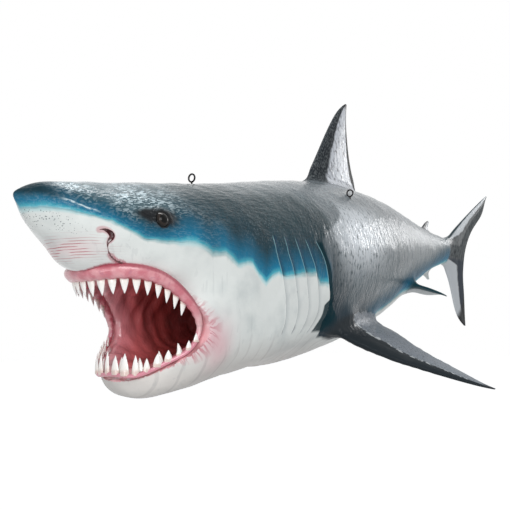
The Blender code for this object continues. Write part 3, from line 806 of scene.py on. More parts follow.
def mould(mesh, lip):
    """Gill flaps, eye rims, fin roots, folds in the mouth and hand-made unevenness."""
    points, normals = read_points(mesh) + HANG, read(mesh.vertex_normals, "vector", float, 3)
    side, finish, left = np.sign(points[:, 1]), face_finish(mesh), left_twin(points)
    fins = touching(mesh, finish >= DORSAL_SKIN)
    lining = touching(mesh, finish == LINING) & ~touching(mesh, finish == SKIN)

    def raise_skin(height):
        points[:] = points + normals * height[:, None]

    phase, down = gill_phase(left)
    window = np.clip(np.minimum(down, 1 - down) / 0.12, 0, 1) * (np.abs(left[:, 1]) > 0.07) * ~fins
    share = phase - np.floor(phase)
    lift = np.where(phase > 3, LAST_FLAP_LIFT, FLAP_LIFT) * ((phase > -1) & (phase < 4)) * share**1.6
    past = np.clip((phase - 4) * GILL_PITCH, 0, None)
    recess = RECESS_DEPTH * np.exp(-((past / RECESS_LENGTH) ** 2)) * (phase >= 4)
    points[:, 1] += side * window * (lift - recess)
    gap = np.linalg.norm(left - np.array(eye_centre()), axis=1)
    rim = EYE_RIM_HEIGHT * np.exp(-(((gap - 0.020) / 0.0045) ** 2))
    raise_skin((rim - EYE_SOCKET_DEPTH * np.exp(-((gap / 0.012) ** 2))) * ~lining)
    to_lip, _ = nearest(points, points[lip])
    chin = np.clip((-0.24 - points[:, 2]) / 0.02, 0, 1) * np.clip((0.29 - points[:, 0]) / 0.05, 0, 1)
    points[:, 0] += CHIN_PULL * np.exp(-((to_lip / 0.022) ** 2)) * chin
    raise_skin(SNOUT_BULGE * bump_at(left, *SNOUT_BULGE_PLACE) * ~lining)
    raise_skin(FIN_MOUND * bump_at(left, *FIN_MOUND_PLACE))
    folds = FOLD_HEIGHT * np.sin(150 * points[:, 0] + 5 * ripple(points, 0.10, 4))
    folds += LUMP_HEIGHT * ripple(points, 0.035, 5)
    raise_skin(folds * lining * (points[:, 0] < 0.62))
    calm = 1 - np.exp(-((np.clip(points[:, 0], 0, None) / 0.05) ** 2))
    raise_skin(SKIN_UNEVENNESS * ripple(points, 0.07, 6) * calm * ~lining * ~fins)
    inboard = np.clip((0.40 - np.abs(points[:, 1])) / 0.10, 0, 1)
    inboard *= touching(mesh, finish == PECTORAL_SKIN)
    raise_skin(FIN_UNEVENNESS * ripple(points, 0.028, 7) * inboard)
    low, high = (np.array(corner) for corner in CAD_BOX)
    write_points(mesh, np.clip(points - HANG, low + BOX_MARGIN, high - BOX_MARGIN))


def gill_phase(left):
    """Counts the gill slits from 0 along the flank, and says how far down them a point is."""
    down = np.clip((left[:, 2] - GILL_TOP) / (GILL_BOTTOM - GILL_TOP), 0, 1)
    return (left[:, 0] - GILL_FRONT - SWEEP(down)) / (GILL_PITCH + WIDENING(down)), down


def nearest(points, track):
    """The distance from each point to a track, and the share of the track's length there."""
    tree = KDTree(len(track))
    for i, place in enumerate(track):
        tree.insert(place, i)
    tree.balance()
    found = [tree.find(point)[1:] for point in points]
    index, gap = np.array(found).T
    return gap, index / (len(track) - 1)


def fin_shares(points, place_x, rows):
    """How far back a fin's point is on its chord, and how far out towards its tip."""
    lead, trail = (edge(np.linspace(0, 1, 200)) for edge in fin_edges(place_x, rows))
    to_lead, span = nearest(points, lead)
    to_trail, _ = nearest(points, trail)
    return to_lead / (to_lead + to_trail), span


def paint_guides(mesh, lip):
    """Numbers on each point that the skin's paint reads."""
    points, edges = read_points(mesh) + HANG, read_edges(mesh)
    left, finish = left_twin(points), face_finish(mesh)
    x, z = left[:, 0], left[:, 2]
    phase, down = gill_phase(left)

    def blurred(hit):
        return soften(hit.astype(float)[:, None], edges, np.full(len(hit), 0.5), 2)[:, 0]

    chord, span = np.zeros(len(points)), np.zeros(len(points))
    middle = np.array(TAIL_TWIST_CENTRE)
    untwisted = (points - middle) @ np.array(TAIL_TWIST) + middle
    for number, (guide, place_x, rows) in FIN_GUIDES.items():
        hit = touching(mesh, finish == number)
        where = {TAIL_SKIN: untwisted, PECTORAL_SKIN: left, PELVIC_SKIN: left}.get(number, points)
        chord[hit], span[hit] = fin_shares(where[hit], place_x, rows)
        give(mesh, guide, blurred(hit))
    steps, eye = np.linspace(0, 1, 120), np.array(eye_centre())
    edge = [smooth_path(UPPER_LIP)(steps), smooth_path(LOWER_LIP)(steps[::-1])]
    edge = np.concatenate(edge) * (1, -1, 1)
    skin_gap = flank_reach(x, z) + left[:, 1]
    brow = bump_at(left, eye + (0.0, 0, 0.006), (0.040, 0.05, 0.019))
    brow_front = 0.5 * bump_at(left, eye + (-0.036, 0, 0.010), (0.022, 0.05, 0.008))
    pore_drop = z + 0.4 * x - 0.004
    track_x, track_z = nostril_line(np.linspace(0, 1, 60))
    gap, along = nearest(left, np.stack([track_x, -TRUNK.reach(track_x, track_z), track_z], -1))
    for name, values in (
        ("above_line", z - np.interp(x, *zip(*PAINT_LINE))),
        ("gill_phase", phase),
        ("gill_down", down),
        ("fin", blurred(touching(mesh, finish >= DORSAL_SKIN))),
        ("chord", chord),
        ("span", span),
        ("lip_distance", nearest(points, points[lip])[0]),
        ("lip_along", nearest(left, edge)[1]),
        ("slit", touching(mesh, finish == LINING) & (skin_gap < 0.013) & (x > 0.50)),
        ("brow", brow + brow_front),
        # Where the painted highlight patch on the flank lies
        ("painted_highlight_patch", bump_at(left, (0.890, -0.190, 0.000), (0.150, 0.10, 0.105))),
        ("eye_distance", np.linalg.norm(left - eye, axis=1)),
        ("pore", np.exp(-((pore_drop / 0.012) ** 2) - ((x - 0.052) / 0.048) ** 2)),
        ("streak", 1.9 * bump_at(left, (0.088, -0.050, -0.063), (0.040, 0.08, 0.016))),
        ("blush", bump_at(left, (0.358, -0.140, -0.238), (0.032, 0.05, 0.045))),
        ("nostril_distance", gap + 0.005 * np.clip((along - 0.4) / 0.1, 0, 1)),
    ):
        give(mesh, name, values)


# Gums and teeth

class Gum:
    """A roll of gum just inside a lip, from the mouth's left corner round to the right one."""

    def __init__(self, lip, radius, inset):
        corner_radius = (UPPER_GUM_RADIUS + LOWER_GUM_RADIUS) / 2
        corner_inset = (UPPER_GUM_INSET + LOWER_GUM_INSET) / 2
        half = np.array(lip)
        outline = np.concatenate([half[:0:-1] * (1, -1, 1), half])
        shares = np.abs(np.linspace(-1, 1, len(outline)))
        radii = radius + (corner_radius - radius) * shares**2
        insets = inset + (corner_inset - inset) * shares**2
        inward = unit(np.array(MOUTH_MIDDLE) - outline)
        self.line = smooth_path(outline + inward * insets[:, None])
        self.radius = Curve(list(zip(np.linspace(0, 1, len(radii)), radii)))

    def walked(self):
        """Shares along the gum and the length walked at each, from its middle."""
        shares = np.linspace(0, 1, 401)
        steps = np.linalg.norm(np.diff(self.line(shares), axis=0), axis=1)
        length = np.concatenate([[0], np.cumsum(steps)])
        return shares, length - length[-1] / 2


UPPER_GUM = Gum(UPPER_LIP, UPPER_GUM_RADIUS, UPPER_GUM_INSET)
LOWER_GUM = Gum(LOWER_LIP, LOWER_GUM_RADIUS, LOWER_GUM_INSET)


def ring_frame(centres, outward):
    """Directions outward from a closed line and beside it, square to it."""
    ahead = unit(np.roll(centres, -1, axis=0) - np.roll(centres, 1, axis=0))
    outward = unit(outward - ahead * (outward * ahead).sum(axis=1)[:, None])
    return outward, np.cross(ahead, outward)


def gum_shape():
    """One roll of gum round the whole mouth, scalloped between the teeth."""
    rings, sides = 640, 26
    half = rings // 2
    shares = np.linspace(0, 1, half + 1)[:-1]
    strands = []
    for gum, way, full, corner in ((UPPER_GUM, shares, 1.0, 0.50), (LOWER_GUM, 1 - shares, 0.48, 0.05)):
        slim = full - corner * np.abs(2 * way - 1) ** 3
        wave = np.cos(2 * np.pi * np.interp(way, *gum.walked()) / TOOTH_PITCH)
        strands.append((gum.line(way), gum.radius(way), slim, wave))
    centres, radii, slims, waves = (np.concatenate(parts) for parts in zip(*strands))
    outward, _ = ring_frame(centres, centres - np.array(MOUTH_MIDDLE))
    shift = np.where(np.arange(rings) < half, radii * (1 - slims), LOWER_GUM_SHIFT)
    centres = centres + outward * shift[:, None]
    radii = radii * slims
    corner = np.abs(np.arange(rings) - half)
    corner = np.minimum(corner, half - corner)
    centres = soften(centres, ring_edges(rings), 0.7 * np.exp(-((corner / 30) ** 2)), 700)
    outward, beside = ring_frame(centres, outward)

    def place(along, around):
        ring = np.round(along * rings).astype(int) % rings
        turn = 2 * np.pi * around
        tooth_side = np.clip(-np.cos(turn), 0, 1)
        size = radii[ring] * (1 - 0.10 * waves[ring] * tooth_side)
        bulge = 1 + 0.05 * np.sin(3 * turn + 9 * along)
        out = outward[ring] * np.cos(turn)[:, None] + beside[ring] * np.sin(turn)[:, None]
        return centres[ring] + out * (size * bulge)[:, None]

    return rolled_grid(rings, sides, place)


def gum_guides(mesh):
    """Tells the gums' paint the upper roll from the lower one, and which way each point faces."""
    points, steps = read_points(mesh) + HANG, np.linspace(0, 1, 400)
    gaps, places, corners = [], [], []
    for gum in (UPPER_GUM, LOWER_GUM):
        line = gum.line(steps)
        gap, at = nearest(points, line)
        gaps.append(gap)
        places.append(line[np.round(at * (len(steps) - 1)).astype(int)])
        corners.append(np.abs(2 * at - 1))
    is_upper = gaps[0] < gaps[1]
    centre = np.where(is_upper[:, None], *places)
    ray = unit(points - centre)
    give(mesh, "upper", np.clip(0.5 + (gaps[1] - gaps[0]) / 0.016, 0, 1))
    give(mesh, "facing", (ray * unit((centre - (HANG[0], 0, 0)) * (1, 1, 0))).sum(axis=1))
    give(mesh, "lipward", (ray * unit(centre - np.array(MOUTH_MIDDLE))).sum(axis=1))
    give(mesh, "corner", np.where(is_upper, *corners))


def tooth_places(gum, count, lengths, up, lean):
    """For each tooth on a gum: its place and directions, the gum's radius, its length and half width."""
    shares, length = gum.walked()
    for i in range(2 * count):
        offset = (i - count + 0.5) * TOOTH_PITCH
        fraction = float(np.interp(offset, length, shares))
        share = (abs(offset) / TOOTH_PITCH - 0.5) / (count - 1)
        place = Vector(gum.line(fraction))
        along = Vector(gum.line(fraction + 0.005) - gum.line(fraction - 0.005)).normalized()
        inward = (Vector(MOUTH_MIDDLE) - place).normalized()
        out = (Vector((0, 0, up)) + inward * lean).normalized()
        tall = lengths[0] + (lengths[1] - lengths[0]) * share
        half_width = TOOTH_HALF_WIDTH[0] + (TOOTH_HALF_WIDTH[1] - TOOTH_HALF_WIDTH[0]) * share
        yield place, along, out, float(gum.radius(fraction)), tall, half_width


def tooth_shape(place, along, out, gum_radius, length, half_width, up):
    """A flat curved triangular blade with keen sides, from inside the gum to its point."""
    root = gum_radius - TOOTH_ROOT
    tall = TOOTH_GROWTH * length + TOOTH_ROOT

    def blade(share, around):
        turn = 2 * np.pi * around
        half = half_width * (1 - share**1.9) + 0.0002
        thick = TOOTH_THINNESS * half * np.sign(np.sin(turn)) * np.abs(np.sin(turn)) ** 1.4
        bend = -up * 0.16 * length * np.clip(share - 0.25, 0, 1) ** 2
        return np.stack([half * np.cos(turn), thick + bend, root + tall * share], -1)

    shape = rolled_grid(16, 20, blade)
    across = out.cross(along).normalized()
    axes = Matrix((across.cross(out), across, out)).transposed().to_4x4()
    bmesh.ops.transform(shape, verts=shape.verts, matrix=Matrix.Translation(place) @ axes)
    return shape


def inner_teeth():
    """A second row of small teeth behind the front of the lower jaw."""
    whole = bmesh.new()
    row = list(tooth_places(LOWER_GUM, LOWER_TEETH, LOWER_TOOTH_LENGTH, 1, 0.25))
    for number, tooth in enumerate(row[:-1]):
        if number % 2 == 0 and number < LOWER_TEETH:
            continue
        place, along, out, radius, tall, half_width = tooth
        nearer = (place + row[number + 1][0]) / 2
        inward = (Vector(MOUTH_MIDDLE) - nearer).normalized()
        foot = nearer + inward * INNER_TOOTH_INSET
        tall, half_width = INNER_TOOTH_SHARES[0] * tall, INNER_TOOTH_SHARES[1] * half_width
        shape = tooth_shape(foot, along, out, radius - INNER_TOOTH_DROP, tall, half_width, 1)
        mesh = bpy.data.meshes.new("tooth")
        shape.to_mesh(mesh)
        shape.free()
        whole.from_mesh(mesh)
        bpy.data.meshes.remove(mesh)
    return whole


# Screw eyes

def screw_eye_places():
    """The foot of each screw eye on the back."""
    yield "front_screw_eye", Vector((FRONT_EYE_X, 0, float(TRUNK.height(FRONT_EYE_X, 0))))
    rear = float(TRUNK.height(REAR_EYE_X, REAR_EYE_REACH))
    yield "rear_left_screw_eye", Vector((REAR_EYE_X, -REAR_EYE_REACH, rear))
    yield "rear_right_screw_eye", Vector((REAR_EYE_X, REAR_EYE_REACH, rear))


def screw_eye_shape(foot):
    """A round wire ring standing across the back, on a straight shank."""
    shape = bmesh.new()
    bmesh.ops.create_circle(shape, segments=16, radius=WIRE_RADIUS)
    stand = Matrix.Rotation(math.pi / 2, 3, "X")
    bmesh.ops.rotate(shape, verts=shape.verts, cent=(0, 0, 0), matrix=stand)
    bmesh.ops.translate(shape, verts=shape.verts, vec=(0, 0, RING_RADIUS))
    wire = shape.verts[:] + shape.edges[:]
    bmesh.ops.spin(
        shape, geom=wire, cent=(0, 0, 0), axis=(1, 0, 0), angle=2 * math.pi, steps=56, use_merge=True
    )
    bmesh.ops.remove_doubles(shape, verts=shape.verts, dist=WELD)
    bmesh.ops.translate(shape, verts=shape.verts, vec=foot + Vector((0, 0, RING_LIFT)))
    tall = SHANK_DEPTH + SHANK_RISE + WIRE_RADIUS
    place = Matrix.Translation(foot + Vector((0, 0, tall / 2 - SHANK_DEPTH)))
    bmesh.ops.create_cone(
        shape, cap_ends=True, segments=20, radius1=WIRE_RADIUS, radius2=WIRE_RADIUS, depth=tall, matrix=place
    )
    return shape


# Paint

WHITE = 0.76, 0.79, 0.77
BLACK_EDGE = 0.006, 0.008, 0.010


class Field:
    """A number or colour that varies over a surface, with plain arithmetic."""

    def __init__(self, paint, socket):
        self.paint, self.socket = paint, socket

    def clamped(self):
        """The same sum, held between 0 and 1."""
        self.socket.node.use_clamp = True
        return self

    def __add__(self, other):
        return self.paint.calc("ADD", self, other)

    def __sub__(self, other):
        return self.paint.calc("SUBTRACT", self, other)

    def __rsub__(self, other):
        return self.paint.calc("SUBTRACT", other, self)

    def __mul__(self, other):
        return self.paint.calc("MULTIPLY", self, other)

    def __truediv__(self, other):
        return self.paint.calc("DIVIDE", self, other)


class Paint:
    """A procedural finish: a Principled shader and short ways to feed it."""

    def __init__(self, name, **values):
        self.material = bpy.data.materials.new(name)
        self.material.use_nodes = True
        self.tree = self.material.node_tree
        self.shader = self.tree.nodes["Principled BSDF"]
        self.feed(self.shader, {key.replace("_", " "): value for key, value in values.items()})
        self.place = self.out("ShaderNodeTexCoord", {}, "Object")

    def feed(self, node, values):
        for name, value in values.items():
            if isinstance(value, Field):
                self.tree.links.new(value.socket, node.inputs[name])
            else:
                node.inputs[name].default_value = value

    def out(self, kind, values, which=0, **settings):
        """One output of a new node."""
        node = self.tree.nodes.new(kind)
        for name, value in settings.items():
            setattr(node, name, value)
        self.feed(node, values)
        return Field(self, node.outputs[which])

    def axis(self, name):
        return self.out("ShaderNodeSeparateXYZ", {0: self.place}, name)

    def guide(self, name):
        return self.out("ShaderNodeAttribute", {}, "Fac", attribute_name=name)

    def calc(self, operation, *values):
        return self.out("ShaderNodeMath", dict(enumerate(values)), operation=operation)

    def sine(self, value):
        return self.calc("SINE", value)

    def fade(self, value, low, high):
        """0 at low to 1 at high, smoothly."""
        values = {"Value": value, "From Min": low, "From Max": high}
        return self.out("ShaderNodeMapRange", values, interpolation_type="SMOOTHSTEP")

    def band(self, value, low, high, soft):
        """1 between low and high."""
        return self.fade(value, low - soft, low + soft) - self.fade(value, high - soft, high + soft)

    def noise(self, scale, detail=3.0, size=None, distortion=0.0):
        where = self.place
        if size:
            where = self.out("ShaderNodeMapping", {"Vector": where, "Scale": size})
        values = {"Vector": where, "Scale": scale, "Detail": detail, "Distortion": distortion}
        return self.out("ShaderNodeTexNoise", values)

    def cells(self, scale):
        return self.out("ShaderNodeTexVoronoi", {"Vector": self.place, "Scale": scale}, "Distance")

    def ramp(self, value, *stops):
        """Colours at rising values."""
        low, high = stops[0][0], stops[-1][0]
        share = self.out("ShaderNodeMapRange", {"Value": value, "From Min": low, "From Max": high})
        colour = self.out("ShaderNodeValToRGB", {"Fac": share})
        elements = colour.socket.node.color_ramp.elements
        elements[0].color, elements[1].color = (*stops[0][1], 1), (*stops[-1][1], 1)
        for at, stop in stops[1:-1]:
            elements.new((at - low) / (high - low)).color = (*stop, 1)
        return colour

    def mix(self, share, one, two):
        one, two = ((*value, 1) if isinstance(value, tuple) else value for value in (one, two))
        return self.out("ShaderNodeMix", {0: share, 6: one, 7: two}, 2, data_type="RGBA")

    def layers(self, colour, *coats):
        """A colour with coats over it, each given by its share and its own colour."""
        for share, coat in coats:
            colour = self.mix(share, colour, coat)
        return colour

    def between(self, share, one, two):
        """A number from one to two, as far as the share says."""
        return self.out("ShaderNodeMix", {0: share, 2: one, 3: two})

    def bump(self, height, distance, normal=None):
        values = {"Height": height, "Distance": distance}
        if normal is not None:
            values["Normal"] = normal
        return self.out("ShaderNodeBump", values)

    def done(self, colour, normal=None):
        self.feed(self.shader, {"Base Color": colour})
        if normal is not None:
            self.feed(self.shader, {"Normal": normal, "Coat Normal": normal})
        return self.material


class SkinPaint(Paint):
    """The body's paint, with the places, guides and edges that several of its layers share."""

    def __init__(self):
        super().__init__("painted fibreglass", Roughness=0.42, Coat_IOR=1.24)
        band, fade, guide = self.band, self.fade, self.guide
        self.x, self.z = self.axis("X"), self.axis("Z")
        drift = self.noise(38, 4) - 0.5
        edge = drift * 0.010 + guide("above_line")
        self.scaled = edge * (band(self.x, -0.385, -0.22, 0.05) * 1.1 + 0.9)
        self.dark = fade(self.scaled, -0.002, 0.003)
        self.speckle = fade(self.noise(210, 2), 0.54, 0.64)
        self.nose = fade(self.x, -0.375, -0.420) * fade(self.scaled, 0.012, 0.030)

        # Fins, by their share of the chord and of the span
        self.fin, self.tail = guide("fin"), guide("tail")
        self.chord, self.span = guide("chord"), guide("span")
        self.rough_edge = drift * 0.10 + self.chord
        self.leading = fade(self.rough_edge, 0.275, 0.215)
        self.tail_root = band(self.z, -0.084, -0.024, 0.010) * fade(self.rough_edge, 0.90, 0.84)

        # Gills, and painted shade in the hollow behind the last flap
        self.phase, down = guide("gill_phase"), guide("gill_down")
        self.inside_gills = band(down, 0.02, 0.97, 0.02) * (1.0 - self.fin)
        tucked = fade(down, 0.61, 0.70) * 0.40 + self.phase
        narrowed = fade(down, 0.65, 0.95) * -1.1 + self.phase
        self.painted_hollow_shade = fade(tucked, 3.95, 4.05) * fade(narrowed, 4.75, 4.60) * self.inside_gills


def belly_colour(paint):
    """Pale, with soft grey wrinkles, pink streaks under the snout and a blush at the mouth's corner."""
    fade, band, noise, guide = paint.fade, paint.band, paint.noise, paint.guide
    x, z = paint.x, paint.z
    pleats = fade(paint.sine(x * 150.0 + noise(5, 2) * 14.0), 0.80, 0.99)
    pleats *= fade(z, -0.33, -0.39) * fade(noise(8, 2), 0.40, 0.55)
    crease = fade(noise(130, 1, (0.9, 0.9, 0.10), 0.3), 0.60, 0.67) * fade(noise(9, 2), 0.40, 0.60)
    streaks = fade(paint.sine(z * 1400.0 + noise(14, 2) * 12.0), 0.55, 0.95)
    streaks *= fade(noise(40, 1, (0.55, 0.55, 4.0)), 0.42, 0.53)
    to_lip, lip_along = guide("lip_distance"), guide("lip_along")
    ray = paint.out("ShaderNodeCombineXYZ", {0: lip_along * 95.0, 1: to_lip * 25.0})
    rays = paint.out("ShaderNodeTexNoise", {"Vector": ray, "Scale": 1.0, "Detail": 2.0})
    near_corner, upper_lip = band(lip_along, 0.42, 0.68, 0.10), fade(lip_along, 0.47, 0.43)
    reach = near_corner * 0.030 + (upper_lip * 0.006 + 0.0004)
    closeness = (1.0 - to_lip / reach).clamped()
    blush = (guide("blush") * 0.55 + closeness * 0.35).clamped()
    return paint.layers(
        WHITE,
        (fade(noise(14, 4), 0.45, 0.75), (0.62, 0.66, 0.65)),
        (fade(z, -0.34, -0.43) * 0.55, (0.66, 0.58, 0.54)),
        (pleats * 0.35, (0.45, 0.43, 0.42)),
        (crease * fade(x, 0.20, 0.0) * 0.15, (0.36, 0.39, 0.40)),
        ((guide("streak") * 0.22).clamped(), (0.74, 0.44, 0.46)),
        ((streaks * guide("streak")).clamped(), (0.44, 0.10, 0.13)),
        (blush * (near_corner * 0.8 + 0.2), (0.70, 0.30, 0.36)),
        (fade(rays, 0.46, 0.60) * closeness * 0.75, (0.50, 0.12, 0.16)),
        (fade(to_lip, 0.0050, 0.0015) * upper_lip * 0.6, (0.42, 0.12, 0.16)),
    )


def back_colour(paint):
    """Dark, with painted highlight strokes, a broad painted highlight on the head and a painted highlight
    line on the snout, grey towards the tail, a painted highlight patch behind the gills and a dark nose.
    """
    mix, fade, band, noise, guide = paint.mix, paint.fade, paint.band, paint.noise, paint.guide
    x, z, scaled, phase = paint.x, paint.z, paint.scaled, paint.phase
    over = fade(scaled, 0.03, 0.08)
    # A broad painted highlight on the top of the head
    head = fade(x, -0.08, -0.22) * fade(scaled, 0.04, 0.09)
    # Painted highlight strokes for the coat's glints, on the head and on the flank
    head_highlight_strokes = fade(noise(300, 2, (0.30, 1, 1), 0.5), 0.49, 0.58)
    flank_highlight_strokes = fade(noise(320, 3, (1, 1, 0.5), 0.2), 0.54, 0.68) * 0.6
    highlight_strokes = paint.between(fade(x, -0.15, 0.00), head_highlight_strokes, flank_highlight_strokes)
    highlight_strokes *= fade(noise(14, 3), 0.34, 0.60)
    highlight_strokes *= over * (fade(x, -0.10, -0.24) * 0.62 + 0.20) + 0.10
    # A thin painted highlight along the top of the snout's blue band
    painted_highlight_line = band(scaled, 0.021, 0.026, 0.002) * band(x, -0.392, -0.345, 0.012)
    rear = fade(x, 0.52, 1.05) * fade(scaled, 0.045, 0.13)
    mottle = fade(noise(90, 4, (1, 1, 0.28)), 0.38, 0.62)
    rear_grey = mix(mottle, (0.30, 0.33, 0.36), (0.085, 0.10, 0.115))
    # A painted highlight patch on the flank behind the gills
    painted_highlight_patch = guide("painted_highlight_patch") * fade(noise(160, 4, (1, 1, 0.4)), 0.72, 0.50) * fade(z, 0.000, -0.050)
    painted_highlight_patch *= fade(fade(z, -0.145, -0.05) * -3.2 + phase, 4.50, 4.95)
    pits = fade(paint.cells(120), 0.22, 0.10) * fade(noise(20, 2), 0.44, 0.58) * fade(x, 0.25, 0.40)
    shaded = fade(x, 0.26, 0.31) * fade(x, 0.62, 0.46) * fade(scaled, 0.16, 0.05)
    low_flank = fade(x, 0.34, 0.42) * band(scaled, 0.06, 0.17, 0.05)
    deep_back = band(x, -0.20, 0.36, 0.06) * fade(scaled, 0.03, 0.07) * fade(scaled, 0.21, 0.13)
    back = paint.ramp(
        scaled,
        (-0.010, WHITE), (-0.001, (0.50, 0.72, 0.74)), (0.005, (0.07, 0.42, 0.53)),
        (0.013, (0.004, 0.18, 0.32)), (0.032, (0.001, 0.105, 0.19)), (0.062, (0.004, 0.055, 0.085)),
        (0.10, (0.012, 0.048, 0.062)), (0.15, (0.040, 0.070, 0.080)), (0.22, (0.15, 0.175, 0.19)),
    )
    return paint.layers(
        mix(fade(noise(9, 5), 0.35, 0.75), back, mix(0.45, back, (0.02, 0.035, 0.045))),
        (paint.speckle * (over * 0.6), (0.010, 0.020, 0.025)),
        (head * 0.35, (0.16, 0.25, 0.29)),
        (highlight_strokes, (0.50, 0.62, 0.67)),
        (painted_highlight_line * fade(noise(90, 2), 0.36, 0.56), (0.55, 0.68, 0.72)),
        (rear * 0.85, rear_grey),
        ((painted_highlight_patch * 1.1).clamped(), (0.72, 0.76, 0.80)),
        (pits * 0.65, (0.03, 0.04, 0.045)),
        (shaded, (0.020, 0.036, 0.050)),
        (low_flank * 0.5, (0.030, 0.062, 0.078)),
        (deep_back * 0.40, (0.004, 0.012, 0.016)),
        (paint.nose * 0.9, (0.008, 0.026, 0.034)),
    )


def gill_coats(paint):
    """Gill flaps: a painted highlight on each flap's edge, painted shade behind it, painted shade along the
    slit's line and painted shade in the hollow behind the last flap.
    """
    mix, fade, band = paint.mix, paint.fade, paint.band
    phase, inside, dark = paint.phase, paint.inside_gills, paint.dark
    share, from_slit = paint.calc("FRACT", phase), paint.calc("PINGPONG", phase, 0.5)
    # Painted highlight on the edge of each flap
    light = band(share, 0.90, 0.97, 0.02) * (inside * band(phase, -0.8, 4.0, 0.02))
    # Painted shade behind each flap's edge
    after = fade(share, 0.42, 0.0) * (inside * band(phase, 0.0, 4.6, 0.01))
    # Painted shade along each slit's line
    line = fade(from_slit, 0.060, 0.035) * (inside * band(phase, -0.2, 4.2, 0.01))
    return (
        (light * 0.60, mix(dark, (0.86, 0.88, 0.86), (0.24, 0.46, 0.52))),
        (after * (dark * 0.35 + 0.45), mix(dark, (0.42, 0.46, 0.48), (0.004, 0.04, 0.08))),
        (line * 0.9, mix(dark, (0.34, 0.37, 0.38), (0.003, 0.016, 0.026))),
        # Painted shade in the hollow behind the last flap
        (paint.painted_hollow_shade * 0.94, (0.006, 0.030, 0.040)),
    )


def fin_coats(paint):
    """Pale and dark areas of each fin, with painted highlights on the rear of the dorsal and second dorsal,
    on the tail's upper lobe and along the pectoral's ridge.
    """
    mix, fade, band, noise, guide = paint.mix, paint.fade, paint.band, paint.noise, paint.guide
    z, chord, span, rough_edge = paint.z, paint.chord, paint.span, paint.rough_edge
    fin_grey = mix(fade(noise(60, 4), 0.35, 0.72), (0.10, 0.115, 0.12), (0.016, 0.022, 0.028))
    # Painted highlight on the rear of the dorsal and the second dorsal
    shine = mix(fade(noise(95, 4, (1, 1, 0.6)), 0.50, 0.66), (0.55, 0.58, 0.63), (0.12, 0.13, 0.15))
    grain = fade(noise(260, 3, (1, 1, 0.5)), 0.44, 0.66)
    front = mix(grain, (0.020, 0.025, 0.030), (0.11, 0.12, 0.125))
    dorsal_coat = paint.layers(
        shine,
        (paint.leading, front),
        (fade(rough_edge, 0.835, 0.865), BLACK_EDGE),
        (fade(span, 0.90, 0.97), (0.012, 0.014, 0.018)),
    )
    # The upper lobe's pale stripe behind its dark leading edge is a painted highlight
    upper_lobe = paint.layers(
        (0.66, 0.70, 0.73),
        (fade(chord, 0.060, 0.030), (0.012, 0.035, 0.045)),
        (fade(fade(z, 0.050, -0.030) * 0.25 + rough_edge, 0.22, 0.27), fin_grey),
        (fade(rough_edge, 0.86, 0.93), BLACK_EDGE),
    )
    lower_lobe = paint.layers(
        (0.62, 0.65, 0.68),
        (fade(fade(z, -0.115, -0.078) * 0.38 + rough_edge, 0.33, 0.43), (0.008, 0.018, 0.034)),
        (fade(span, 0.13, 0.08), BLACK_EDGE),
    )
    from_ridge = rough_edge - (span * -0.16 + 0.30)
    # A painted highlight along the pectoral's ridge
    painted_ridge_glint = band(from_ridge, -0.035, 0.015, 0.012) * fade(noise(90, 3), 0.46, 0.60)
    pectoral_coat = paint.layers(
        mix(paint.speckle, (0.215, 0.24, 0.27), (0.11, 0.125, 0.145)),
        (fade(from_ridge, 0.01, -0.02), (0.022, 0.028, 0.033)),
        (painted_ridge_glint * 0.75, (0.60, 0.63, 0.65)),
        (fade(span, 0.86, 0.97), (0.03, 0.034, 0.04)),
    )
    small_coat = mix(fade(rough_edge, 0.40, 0.30), shine, (0.016, 0.020, 0.025))
    tail_coat = mix(paint.tail_root, mix(fade(z, -0.050, -0.054), upper_lobe, lower_lobe), fin_grey)
    pelvic_coat = mix(fade(rough_edge, 0.32, 0.20), (0.50, 0.53, 0.54), (0.008, 0.045, 0.060))
    return (
        (guide("dorsal"), dorsal_coat),
        (paint.tail, tail_coat),
        (guide("pectoral"), pectoral_coat),
        (guide("pelvic"), pelvic_coat),
        (guide("small"), mix(fade(z, -0.10, -0.06), (0.60, 0.64, 0.64), small_coat)),
    )


def hammered_coat(paint):
    """Sets the clear coat's shine, dull in places, and gives its hammered relief."""
    fade, noise, guide = paint.fade, paint.noise, paint.guide
    x, z, scaled, fin, tail = paint.x, paint.z, paint.scaled, paint.fin, paint.tail
    # Lengthwise on the snout and upright on the flank
    relief = paint.between(fade(x, 0.0, 0.35), noise(120, 4, (0.40, 1, 1)), noise(105, 4, (1, 1, 0.30)))
    relief *= ((fin - guide("pectoral")) * -0.6 + 1.0 + tail * -0.34) * (paint.dark * 0.85 + 0.15)
    normal = paint.bump(noise(14, 3), 0.0030, paint.bump(relief, 0.0030))
    dull = paint.leading * guide("dorsal")
    for share in (
        paint.nose * 0.7,
        fade(x, 0.40, 0.55) * fade(scaled, 0.09, 0.03) * 0.85,
        fade(paint.chord, 0.80, 0.88) * fin,
        guide("pectoral") * 0.5,
        paint.tail_root * tail,
        tail * 0.5,
        fade(paint.rough_edge, 0.38, 0.45) * tail,
        fade(z, -0.32, -0.37),
    ):
        dull = paint.calc("MAXIMUM", dull, share)
    shine_left = (dull * -0.85 + 1.0) * (paint.painted_hollow_shade * -0.8 + 1.0)
    rougher = fade(x, 0.42, 1.0) * 0.24 + 0.07
    gleam = shine_left * 0.05
    gloss = {"Coat Weight": shine_left, "Coat Roughness": rougher, "Specular IOR Level": gleam}
    paint.feed(paint.shader, gloss)
    return normal


